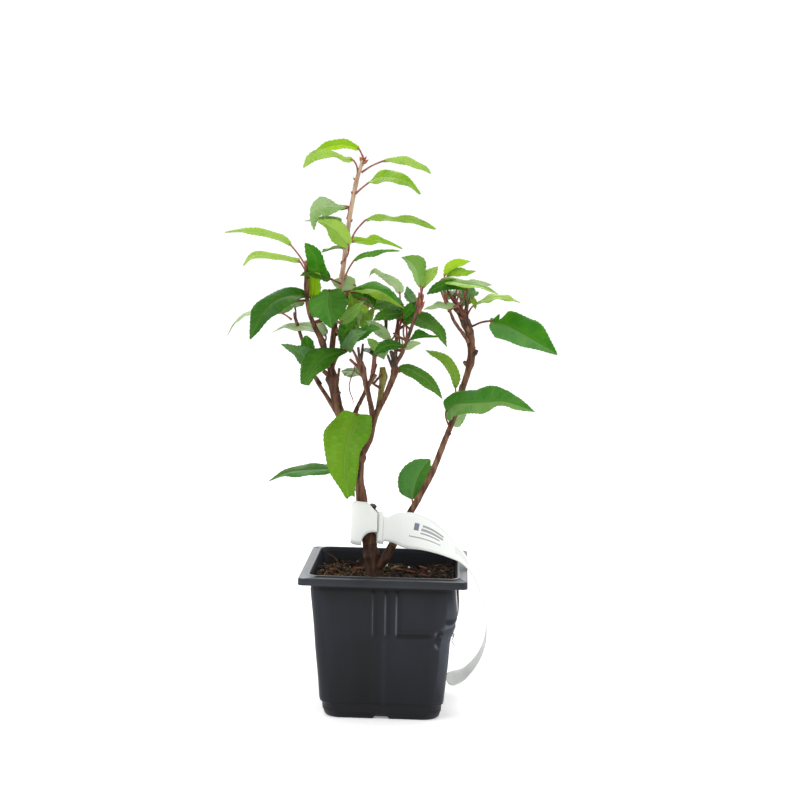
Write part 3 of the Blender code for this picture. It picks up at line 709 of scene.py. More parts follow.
def build_pot():
    shape = Shape()
    rings = [square_ring(*ring)[0] for part, _, _ in RIM_PARTS for ring in part]
    # Painted light and shade for each point of each ring; the rim's rings get none
    painted_light = [np.zeros(len(ring)) for ring in rings]
    for height in np.linspace(WALL_TOP, BAND_HEIGHT + 0.2, WALL_RINGS):
        half = wall_half(height)
        points, side, along = square_ring(half, CORNER_TOP + CORNER_SPREAD * (WALL_TOP - height), height)
        outward = points[:, :2] / np.linalg.norm(points[:, :2], axis=1)[:, None]
        facing = np.column_stack([np.sin(side * math.pi / 2), -np.cos(side * math.pi / 2)])
        on_flat = (np.abs(along) < half - 0.1)[:, None]
        points[:, :2] += np.where(on_flat, facing, outward) * crumple(side, along, height)[:, None]
        rings.append(corner_dent(points, height))
        painted_light.append(painted_light_at(side, along, height))
    for inset, corner, height in FOOT_RINGS:
        points, side, along = square_ring(wall_half(height) - inset, corner, height)
        arch = 1 - step_between(np.abs(along), NOTCH_HALF - NOTCH_BLEND, NOTCH_HALF + NOTCH_BLEND)
        points[:, 2] = np.maximum(points[:, 2], NOTCH_RISE * arch)
        rings.append(points)
        painted_light.append(painted_light_at(side, along, height))
    points, side, along = square_ring(*FLOOR_RING)
    rings.append(points)
    painted_light.append(np.zeros(len(points)))
    shape.grid(np.array(rings), pot_marks(len(rings), side), wrap=True, caps=True)
    plastic = []
    for part, low, high, rough, gloss in POT_SKINS:
        stops = [(0.0, PLASTIC_BLACK), (0.35, low), (0.7, high), (1.0, PLASTIC_HIGHLIGHT)]
        plastic.append(patterned(f"pot_{part}", stops, 34.0, (1, 1, 0.35), rough, bump=0.1, depth=0.15,
                                 specular=gloss, painted_light=1.0))
    make_piece("pot_shell", shape, plastic, ["pot"], np.concatenate(painted_light))


# Rings of the compost's sides below its surface: height, inset
SOIL_RINGS = ((66.0, 0.6), (30.0, 3.6), (11.0, 6.4))


def soil_height(x, y):
    """The height of the compost: lumps, a mound round the trunk, and heaps along the front."""
    x, y = np.ravel(x), np.ravel(y)
    spots = np.column_stack([x, y, np.zeros(len(x))])
    lumps = np.clip(ripples(spots, SOIL_LUMPS), -2.0, 2.2)
    mound = MOUND_RISE * np.exp(-((x - MOUND_PLACE) ** 2 + y ** 2) / MOUND_SPREAD)
    (start, full, rise), (right_start, right_full, right_rise) = HEAP_LEFT, HEAP_RIGHT
    heaped = rise * step_between(-x, start, full) + right_rise * step_between(x, right_start, right_full)
    return SOIL - SOIL_LOWERED + lumps + mound + heaped * (1 - step_between(y, *HEAP_FADE))


def build_soil():
    shape = Shape()
    half = wall_half(SOIL) - WALL - SOIL_GAP
    flat = half - SOIL_CORNER
    x, y = np.meshgrid(np.linspace(-half, half, SOIL_COLUMNS), np.linspace(-half, half, SOIL_COLUMNS))
    over_x, over_y = np.maximum(np.abs(x) - flat, 0), np.maximum(np.abs(y) - flat, 0)
    pull = np.minimum(1, (SOIL_CORNER - 0.1) / np.maximum(np.hypot(over_x, over_y), 1e-6))
    x = np.sign(x) * (np.abs(x) - over_x * (1 - pull))
    y = np.sign(y) * (np.abs(y) - over_y * (1 - pull))
    top = np.dstack([x, y, soil_height(x, y).reshape(x.shape)])
    shape.grid(top)
    ring = np.vstack([top[0, :-1], top[:-1, -1], top[-1, :0:-1], top[:0:-1, 0]])
    walls = [ring]
    for height, inset in SOIL_RINGS:
        walls.append(np.column_stack([ring[:, :2] * (half - inset) / half, np.full(len(ring), height)]))
    side = Shape()
    side.grid(np.array(walls[::-1]), wrap=True)
    side.faces.append(tuple(range(len(ring) - 1, -1, -1)))
    shape.add(side.points[0], side.faces, 0)
    skin = litter("soil_dark", (15, 12, 10), (50, 35, 24), scale=210.0)
    make_piece("compost_bed", shape, [skin], ["compost"])


def ball(shape, centre, size, mark, source, rings, sides, ends, stagger, spread):
    """A ball of few faces, turned at random and pushed out of true; ends is the gap at its poles."""
    turn = np.linalg.qr(source.normal(size=(3, 3)))[0]
    rises = math.pi * ((np.arange(rings)[:, None] + ends) / (rings - 1 + 2 * ends) - 0.5)
    turns = 2 * math.pi * (np.arange(sides) + stagger * (np.arange(rings)[:, None] % 2)) / sides
    flat = np.cos(rises)
    grid = np.dstack([flat * np.cos(turns), flat * np.sin(turns), np.sin(rises) + 0 * turns])
    grid = grid * source.uniform(*spread, (rings, sides, 1)) * size
    shape.grid(grid @ turn.T + np.array(centre), mark, wrap=True, caps=True)


def lump(shape, centre, size, source, mark, flatness=0.7):
    """A small broken lump of compost."""
    size = size * source.uniform(0.6, 1.3, 3) * (1, 1, flatness)
    ball(shape, centre, size, mark, source, rings=3, sides=6, ends=0.6, stagger=0.5, spread=(0.75, 1.15))


def chip(shape, centre, length, width, heading, tilt, mark, source):
    """A splinter of bark: a bent board with ragged ends."""
    turns = 2 * math.pi * (np.arange(CHIP_SIDES) + 0.5) / CHIP_SIDES
    rows = []
    for s in np.linspace(-1, 1, CHIP_ROWS):
        taper = (1 - abs(s) ** 4) * source.uniform(0.8, 1.0) + CHIP_END
        ragged = source.uniform(-CHIP_RAGGED, CHIP_RAGGED, CHIP_SIDES)
        rise = np.sin(turns) * CHIP_HALF_THICKNESS - CHIP_BEND * s * s + ragged
        across = np.cos(turns) * width / 2 * taper
        rows.append(np.column_stack([np.full(CHIP_SIDES, s * length / 2), across, rise]))
    turn = Matrix.Rotation(math.radians(heading), 3, "Z") @ Matrix.Rotation(math.radians(tilt), 3, "Y")
    shape.grid(np.array(rows) @ np.array(turn).T + np.array(centre), mark, wrap=True, caps=True)


# Skins of the litter: name, darker and lighter colour, scale of the mottle
LITTER_SKINS = (
    ("crumb_dark", (18, 14, 11), (42, 31, 22), 300.0), ("crumb_brown", (34, 24, 16), (64, 45, 29), 300.0),
    ("crumb_red", (48, 28, 18), (78, 46, 29), 300.0),
    ("grit_white", (206, 204, 198), (240, 238, 232), 500.0),
    ("chip_red", (62, 34, 22), (104, 60, 36), 240.0),
    ("chip_straw", (84, 70, 46), (138, 120, 86), 240.0))
FIBRE_SKINS = (
    ("fibre_straw", (62, 50, 32), (112, 94, 62), 400.0), ("fibre_brown", (46, 30, 20), (80, 54, 36), 400.0))
# The skins that crumbs draw from, on most of the compost and where straw lies, and those of fibres
CRUMB_CHOICE = [0, 0, 0, 1, 1, 2]
STRAW_CHOICE = [0, 0, 1, 2, 5]
FIBRE_CHOICE = [0, 0, 1]
GRIT_SKIN = 3
# Bark on the compost: place, length, width, heading, tilt, and 4 red or 5 pale
CHIPS = ((11, 12, 13.5, 3.6, -20, 4, 4), (4, 21, 7, 3.2, 50, -8, 5), (11.5, -17, 11, 3.4, 12, 3, 4),
         (22, -6, 9, 3, -35, 4, 4), (-24, -22, 9, 2.6, 25, -4, 4), (27, -22, 7, 2.4, 75, 5, 4),
         (-30, -6, 8, 3, 100, 3, 4), (-16, 24, 10, 3.2, 20, -3, 4), (20, 26, 8, 2.8, -50, 3, 4),
         (-5, -26, 7, 2.2, -15, 3, 4), (31, 8, 8, 2.6, 95, 2, 4), (24, 8, 8, 2.2, 100, -14, 5))
# Grit: place and size
GRIT = ((-1.4, 24, 1.2), (-20, -24, 0.6), (24, -18, 0.5), (-31, 12, 0.7), (12, 22, 0.7))
# Fibres caught at the pot's edge, as (x, y, z, radius)
EDGE_FIBRES = (((-35, 24, 79, 0.5), (-30, 18, 77.5, 0.5), (-26, 10, 74, 0.5)),
               ((36.4, -12, 47, 0.22), (38.4, -14, 43, 0.22), (37.4, -14, 40, 0.2), (39, -13, 37, 0.18)),
               ((36.2, -10, 44, 0.2), (37.6, -8, 41, 0.2), (38.8, -9, 42.5, 0.16)))
FIBRE_ROWS = 14
FIBRE_SIDES = 5


def fibre_rows(source):
    """The route of one loose fibre over the compost."""
    places = FIBRE_PLACES if source.random() < FIBRES_LEFT else FIBRE_PLACES_ALL
    start = np.array([source.uniform(*span) for span in places])
    heading = source.uniform(0, 2 * math.pi)
    length, radius = source.uniform(*FIBRE_LENGTH), source.uniform(*FIBRE_RADIUS)
    rows = []
    for k in range(FIBRE_STEPS + 1):
        way = np.array((math.cos(heading), math.sin(heading)))
        place = np.clip(start + way * length * k / FIBRE_STEPS, -FIBRE_LIMIT, FIBRE_LIMIT)
        rows.append((*place, soil_height(*place)[0] + source.uniform(*FIBRE_HEIGHT), radius))
        heading += source.uniform(-FIBRE_BEND, FIBRE_BEND)
    return rows


def build_litter():
    """Crumbs, bark, grit and fibres lying on the compost."""
    source = np.random.default_rng(31)
    shape = Shape()
    half = wall_half(SOIL) - WALL - LITTER_GAP
    for _ in range(CRUMBS):
        x, y = source.uniform(-half, half, 2)
        size = source.uniform(*CRUMB_SIZE) * source.uniform(0.6, 1.2)
        mark = int(source.choice(CRUMB_CHOICE if x > STRAW_BELOW else STRAW_CHOICE))
        lump(shape, (x, y, soil_height(x, y)[0] + 0.25 * size), size, source, mark)
    for x, y, size in GRIT:
        lump(shape, (x, y, soil_height(x, y)[0] + 0.7), size, source, GRIT_SKIN, flatness=0.9)
    for x, y, *form in CHIPS:
        chip(shape, (x, y, soil_height(x, y)[0] + 0.9), *form, source)
    fibres = Shape()
    for _ in range(FIBRES):
        route = smooth_route(fibre_rows(source), FIBRE_ROWS)
        tube(fibres, route, int(source.choice(FIBRE_CHOICE)), FIBRE_SIDES)
    for rows in EDGE_FIBRES:
        tube(fibres, smooth_route(rows, FIBRE_ROWS), 1, FIBRE_SIDES)
    make_piece("compost_litter", shape, [litter(*row) for row in LITTER_SKINS])
    make_piece("compost_fibres", fibres, [litter(*row) for row in FIBRE_SKINS])


# Each limb: mark of its bark (0 old, 1 young, 2 green), then its route as (x, y, z, radius)
LIMBS = {
    "trunk": (0, ((-6.6, 0, 64, 6.6), (-6.8, 0, 70, 5.6), (-7.2, 0, 75, 4.8), (-7.8, 0, 81, 4.3),
        (-9.2, 0, 88, 4), (-11.8, 0, 102, 3.3), (-14.4, 0.4, 114, 3.1), (-16, 1, 128, 2.4),
        (-16, 2, 140, 2.7))),
    "left_bough": (0, ((-15.8, 2, 138, 2.3), (-17.5, 2.2, 145, 2.2), (-22, 3, 152, 2.2),
        (-27.6, 4, 162, 2.5), (-30.4, 5, 172, 2.8), (-32.2, 6, 181, 2.9), (-32.8, 6, 186, 2))),
    "leader": (1, ((-32.8, 6, 182, 1.7), (-32.7, 8, 200, 1.6), (-30.6, 9, 219, 1.4), (-28, 8, 238, 1.35),
        (-26, 6, 255, 1.25), (-24, 5, 271, 1.2), (-21, 3, 288, 1.15), (-18, 2, 299, 1),
        (-17.4, 2, 302, 0.8))),
    "left_shoot": (0, ((-32.6, 6, 182.5, 1.7), (-34.5, 5, 190, 1.6), (-38, 3, 201.5, 1.6),
        (-42.4, 0, 211, 1.3), (-45.3, -3, 220, 1.3), (-46.3, -6, 233, 1.2), (-46.6, -8, 244, 0.9))),
    "left_twig": (1, ((-28.5, 4, 161, 1.5), (-35.6, 9, 171, 1.2), (-42, 13, 180, 1.1),
        (-46, 17, 190, 1.1), (-51.5, 21, 203, 1), (-55.5, 24, 214, 0.9))),
    "centre_bough": (0, ((-15.8, 1.9, 138.5, 2.2), (-11, 1, 147.5, 1.9), (-9, 0, 157, 1.9),
        (-5.8, -1, 166, 1.6), (-1.4, -3, 175, 1.6), (2.3, -4, 185, 1.6), (2.8, -4, 193, 1.35))),
    "middle_bough": (0, ((-8.8, -0.2, 158, 1.7), (-10, -4, 167, 1.5), (-12, -7, 176.5, 1.4),
        (-14.2, -9, 186, 1.5), (-16, -10, 192, 1.5))),
    "cross_twig": (0, ((-21.5, 3.2, 151.5, 1.4), (-19.4, 9, 162, 1.2), (-14, 13, 174.5, 1.1),
        (-11.2, 15, 181, 1), (-9, 17, 189, 0.9))),
    "green_stub": (2, ((-6.2, -0.8, 165, 1.5), (-5.1, 4, 174.5, 1.6), (-4.2, 6, 182, 2),
        (-4.7, 7, 188, 1.5))),
    "centre_shoot": (1, ((2.7, -4, 191, 1.2), (3, -1, 201, 1), (3.2, 2, 208, 1), (3.5, 5, 214, 0.8))),
    "right_shoot": (0, ((2.9, -4.3, 190.5, 1.25), (6.5, -6, 197, 1.1), (9.1, -8, 204, 0.95),
        (12, -10, 213, 0.95), (14.8, -12, 222, 1.1), (16.3, -13, 230, 1.1))),
    "right_stem": (0, ((-7, -0.5, 76, 2.8), (-3.8, -1.5, 78.5, 2.8), (-1, -2, 82, 2.8),
        (1.2, -2, 86, 2.5), (4, -2.4, 91.5, 2.3), (8.3, -3, 99.7, 2.1), (11.8, -3.2, 107, 1.9),
        (16.2, -2.6, 115, 1.8), (24.2, 0, 131, 1.7), (31.4, 4, 150, 1.6), (36.6, 7, 164, 1.5),
        (40.2, 9, 179, 1.65))),
    "right_stem_top": (0, ((40.3, 9, 178, 1.65), (43, 9.5, 187.5, 1.85), (44.4, 10, 195.5, 2.2),
        (44, 10, 202, 2.2), (43.2, 9, 207.5, 2.4), (41.5, 8, 212, 2.3), (39.4, 6, 216.2, 2.1),
        (36.2, 4, 220.5, 1.6), (32.8, 2, 223.6, 1.2))),
    "inner_twig": (0, ((42.6, 8, 203, 1.1), (39.6, 5, 207.5, 1), (36.6, 1, 211.5, 0.9),
        (34.4, -2, 215, 0.9), (32.6, -4, 219, 0.8), (31.6, -5, 222, 0.7))),}
# Heights below which a limb of young bark is old and dark, and below which bark is darker still
OLD_BELOW = {"leader": 212, "left_twig": 230, "centre_shoot": 230.0}
DARKER_BELOW = 90.0
# Knuckles where old shoots were cut: limb, height of the knuckle, how much thicker it is there
KNUCKLES = (
    ("left_bough", 181, 0.35), ("left_bough", 163, 0.15), ("centre_bough", 187, 0.4),
    ("middle_bough", 188, 0.35), ("middle_bough", 178, 0.2), ("right_stem_top", 191, 0.25),
    ("right_stem_top", 214, 0.25), ("right_stem", 177, 0.15), ("left_shoot", 201, 0.3),
    ("left_shoot", 232, 0.3), ("green_stub", 183, 0.3), ("leader", 238, 0.15), ("leader", 288, 0.2),
    ("trunk", 138, 0.35), ("trunk", 84, 0.15), ("right_stem", 131, 0.1), ("left_twig", 190, 0.3),
    ("right_shoot", 222, 0.2), ("centre_shoot", 208, 0.3), ("cross_twig", 162, 0.15))
# Dead and living stubs and thin twigs: mark (0 bark, 1 dead wood, 2 brownish red, 3 green), then their ends
# as (x, y, z, radius)
STUBS = (
    (1, (-12, -1, 104, 1.7), (-7.6, -5, 112.5, 2.1)),
    (2, (-15.5, -9.6, 188, 1.2), (-20, -12, 198.5, 0.6)), (1, (-15, -9.4, 188, 1), (-17, -13, 200, 0.7)),
    (1, (-16, -10, 189, 1), (-14.5, -12, 202, 0.6)), (2, (-15, -9, 187, 1.1), (-22, -6, 193, 0.7)),
    (1, (2.4, -4, 189, 1.5), (0.5, -7, 198, 1.1)), (1, (2.7, -4, 189, 1.5), (3.4, -8, 199, 0.9)),
    (1, (2, -4, 188, 1.1), (-1.6, -5, 196, 0.6)), (1, (-3, 8, 203, 0.7), (-3.2, 7, 216, 1.1)),
    (2, (-10.5, -3, 180, 1.1), (-8.6, -5, 195.5, 1)), (0, (-12, -7, 178, 1.1), (-7.5, -6, 185, 0.9)),
    (0, (-5.8, 3, 177, 0.8), (-10.8, 1, 181, 0.6)), (0, (-8.5, -1, 180, 0.7), (-4, 5, 184, 0.7)),
    (0, (-33, 6, 184, 1.2), (-29, 8, 195, 0.7)), (0, (-31, 5, 170, 0.9), (-28.5, 6, 187, 0.7)),
    (0, (-32.6, 6, 181, 1.6), (-37, 3, 185.5, 1.2)), (1, (-31.2, 4, 171, 1), (-27.5, 2, 174, 0.7)),
    (0, (44, 8, 207, 1.2), (41, 2, 212, 0.8)), (1, (43.6, 7.5, 212, 1.2), (38.4, 1, 215, 0.7)),
    (2, (42.5, 7, 214, 0.8), (37.2, -1, 217, 0.55)), (2, (41, 6, 218, 0.8), (35, 1, 220.5, 0.6)),
    (0, (39.7, 5, 219.7, 0.8), (33.5, 6, 229, 0.5)), (2, (38, 4, 220, 0.65), (31, -2, 231, 0.5)),
    (2, (36, 3, 222, 0.6), (29.5, 2, 233, 0.5)), (2, (34.7, 2, 223, 0.55), (36, 0, 235, 0.45)),
    (0, (42, 7, 215, 0.6), (39, 2, 233, 0.45)), (1, (45.2, 8.2, 196, 1.2), (47.4, 6.5, 198.5, 0.8)),
    (0, (42.6, 9.8, 190, 1.3), (40.4, 7.5, 192, 0.9)), (0, (31.5, 4, 150.5, 1.4), (33.8, 2.5, 153, 1)),
    (3, (7.5, -7, 200, 0.7), (6.2, -7.5, 205, 0.35)), (0, (9.1, -8, 204, 0.8), (1.5, -9, 208, 0.45)),
    (0, (-42.5, 13, 181, 1.2), (-39.5, 12, 177, 1.4)), (2, (-19.5, -2, 189, 0.3), (-21, -2, 184, 0.3)),
    (2, (-21, -2, 184, 0.3), (-22.4, -2, 178.5, 0.3)),
    (2, (-22.4, -2, 178.5, 0.3), (-20.3, -2, 171, 0.3)),
    (2, (-20.3, -2, 171, 0.3), (-20.1, -2, 168, 0.25)))
# Buds at the shoots' ends: base and tip
BUDS = (
    ((15.6, -12, 219), (17.2, -14, 225)), ((15.2, -11, 221), (14.2, -13, 227)),
    ((16, -12, 222), (15.8, -15, 228)), ((16.2, -12, 221), (18.4, -12, 226)),
    ((16, -12, 224), (18, -14, 230)), ((15.8, -12, 225), (15, -12, 231)),
    ((16.4, -12, 223), (17, -9, 229)), ((-17.6, 2, 300.5), (-17.2, 1, 304.2)),
    ((-17.4, 2, 300), (-15.2, 1.4, 303.2)), ((-17.8, 2, 300), (-19, 2, 303)),
    ((-17.2, 1.4, 299), (-14, 0, 301.4)), ((-45.6, -8, 243.5), (-47.2, -9, 246.5)),
    ((-46.4, -7, 244), (-45.4, -8, 247)), ((-55.4, 24, 213.6), (-56.2, 24, 217)),
    ((3.4, 5, 213.6), (3, 5, 217)), ((-3.2, 7, 214), (-3, 6, 218)))
BUD_LIMBS = (
    ("leader", 290), ("leader", 283), ("leader", 268), ("leader", 254), ("leader", 245), ("leader", 235),
    ("left_shoot", 233), ("left_shoot", 225), ("left_twig", 208), ("left_twig", 190))
# The skins of limbs and stubs: name, strength of the relief, and the colours of the mottle
BARKS = (
    ("bark_old", 1.0,
     ((0.3, (42, 26, 20)), (0.45, (84, 54, 40)), (0.6, (110, 76, 54)), (0.78, (132, 114, 82)))),
    ("bark_young", 0.5, ((0.3, (146, 114, 92)), (0.5, (180, 154, 128)), (0.7, (192, 176, 144)))),
    ("bark_green", 0.6, ((0.3, (92, 76, 42)), (0.5, (124, 116, 60)), (0.7, (140, 138, 78)))),
    ("bark_low", 1.0,
     ((0.3, (30, 19, 14)), (0.48, (58, 38, 27)), (0.66, (86, 60, 42)), (0.8, (96, 80, 52)))))
STUB_BARKS = (
    ("dead_wood", 1.0, ((0.3, (34, 26, 22)), (0.5, (64, 50, 42)), (0.7, (96, 80, 66)))),
    ("red_stub", 0.4, ((0.3, (78, 42, 34)), (0.5, (108, 64, 50)), (0.7, (128, 88, 66)))),
    ("green_bud", 0.3, ((0.3, (110, 130, 60)), (0.6, (150, 165, 90)), (0.8, (170, 180, 110)))))
BUD_BARK = ("bud_red", 0.3, ((0.3, (112, 56, 44)), (0.5, (150, 88, 64)), (0.7, (150, 118, 78))))
OLD_BARK = 0
LOW_DARK_BARK = 3
# Pieces made of the limbs: name, slot, marks of the limbs that go into it
LIMB_PIECES = (("stems_old", "bark", (0,)), ("stems_young", "young_bark", (1, 2)))
# Waves of a limb's bark: height in mm, stretch along the axes, size in mm, seed
BARK_SWELLS = (0.10, (1, 1, 0.35), 3.4, 41)
BARK_GRAIN = (0.05, (1, 1, 1), 1.9, 42)
BARK_RINGS = (0.06, (1, 1, 2.2), 5.0, 43)
# The waves are whole on a limb of this radius and flatter on a thinner one and on younger bark
BARK_RADIUS = 2.0
YOUNG_RELIEF = 0.45
# The flare of the roots on the trunk: height above the compost, how far they stand out, how many, turn
FLARE_HEIGHT, FLARE_OUT, FLARE_ROOTS, FLARE_TURN = 9, 0.7, 3, 0.6
KNUCKLE_REACH = 2.2
STUB_BEND = 0.5
STUB_ROUGHNESS = 0.12
# Knots: how many at a knuckle, how deep they sit there, and their size, both as shares of the limb
KNUCKLE_KNOTS, KNUCKLE_DEPTH, KNUCKLE_KNOT = 3, 0.75, (0.35, 0.55)
# Spots of bark: the rows of a route they are on, how deep they sit, and their radius in mm
SPOT_ROWS, SPOT_DEPTH, SPOT_RADIUS = (6, 56), 0.97, (0.22, 0.42)
# A bud's outline: how far along it and how thick
BUD_OUTLINE = ((0, 0.55), (0.2, 0.95), (0.45, 1.0), (0.7, 0.7), (0.9, 0.3), (1.0, 0.06))


def limb_relief(name, mark):
    """The rise of a limb's bark: long swells, fine grain, rings, and the flare of roots on the trunk."""
    def relief(grid, route, turns):
        flat = grid.reshape(-1, 3)
        rise = 0
        for height, stretch, size, seed in (BARK_SWELLS, BARK_GRAIN):
            rise = rise + height * ripple(flat * stretch, size, seed)
        height, stretch, size, seed = BARK_RINGS
        rise = rise + height * np.maximum(0, ripple(flat * stretch, size, seed)) ** 2
        rise = rise.reshape(grid.shape[:2]) * (route[:, 3:] / BARK_RADIUS) ** 0.7
        rise = rise * (YOUNG_RELIEF if mark else 1.0)
        if name == "trunk":
            low = 1 - step_between(route[:, 2:3], SOIL, SOIL + FLARE_HEIGHT)
            rise = rise + FLARE_OUT * low * np.maximum(0, np.cos(FLARE_ROOTS * turns + FLARE_TURN))
        return rise
    return relief


def limb_at(name, height, rows=SEARCH_ROWS):
    """The row of a limb's route that is nearest to a height."""
    route = smooth_route(LIMBS[name][1], rows)
    return route[np.argmin(np.abs(route[:, 2] - height))]


def build_limbs(barks):
    for piece, slot, wanted in LIMB_PIECES:
        shape = Shape()
        names = [name for name in LIMBS if LIMBS[name][0] in wanted]
        for name in names:
            mark, rows = LIMBS[name]
            route = smooth_route(rows, max(6, round(route_length(rows) / LIMB_ROW)))
            for limb, height, more in KNUCKLES:
                if limb == name:
                    route[:, 3] *= 1 + more * hump(route[:, 2], height, KNUCKLE_REACH)
            marks = np.where(route[:, 2:3] < OLD_BELOW.get(name, 0), OLD_BARK, mark)
            marks = np.where(route[:, 2:3] < DARKER_BELOW, LOW_DARK_BARK, marks) * np.ones(LIMB_SIDES, int)
            tube(shape, route, marks, LIMB_SIDES, limb_relief(name, mark))
        make_piece(piece, shape, barks, names)


def knot(shape, centre, radius, source):
    """A small swelling, such as the scar of a cut shoot."""
    ball(shape, centre, radius, OLD_BARK, source, 6, 8, ends=0.35, stagger=0, spread=(0.88, 1.12))


def build_stubs(source, old_bark):
    """Cut stubs and thin twigs, the knots round each knuckle, and small bark spots all over the limbs."""
    stubs = Shape()
    for mark, start, end in STUBS:
        start, end = np.array(start, float), np.array(end, float)
        middle = (start + end) / 2 + (*source.uniform(-STUB_BEND, STUB_BEND, 3), 0)
        tube(stubs, smooth_route([start, middle, end], STUB_ROWS), mark, STUB_SIDES,
             lambda grid, route, turns:
             source.uniform(-STUB_ROUGHNESS, STUB_ROUGHNESS, grid.shape[:2]) * route[:, 3:])
    for name, height, _ in KNUCKLES:
        near = limb_at(name, height)
        for _ in range(KNUCKLE_KNOTS):
            place = near[:3] + unit(source.normal(size=3)) * near[3] * KNUCKLE_DEPTH
            knot(stubs, place, near[3] * source.uniform(*KNUCKLE_KNOT), source)
    for _ in range(BARK_SPOTS):
        name = list(LIMBS)[int(source.integers(len(LIMBS)))]
        near = smooth_route(LIMBS[name][1], SEARCH_ROWS)[int(source.integers(*SPOT_ROWS))]
        place = near[:3] + unit(source.normal(size=3) * (1, 1, 0.2)) * near[3] * SPOT_DEPTH
        knot(stubs, place, source.uniform(*SPOT_RADIUS), source)
    make_piece("stubs", stubs, [old_bark, *(bark(*row) for row in STUB_BARKS)])


def build_buds(source):
    buds = Shape()
    places = [(np.array(base, float), np.array(tip, float), 0.85) for base, tip in BUDS]
    for name, height in BUD_LIMBS:
        near = limb_at(name, height, rows=80)
        out = unit(source.normal(size=3) * (1, 1, 0)) * near[3]
        places.append((near[:3] + out * 0.8, near[:3] + out * 1.7 + (0, 0, 1.7), 0.55))
    shares, scale = np.array(BUD_OUTLINE).T
    for base, tip, width in places:
        tube(buds, np.column_stack([base + (tip - base) * shares[:, None], width * scale]), 0, sides=8)
    make_piece("buds", buds, [bark(*BUD_BARK)])


def build_stems():
    barks = [bark(*row) for row in BARKS]
    build_limbs(barks)
    source = np.random.default_rng(51)
    build_stubs(source, barks[OLD_BARK])
    build_buds(source)


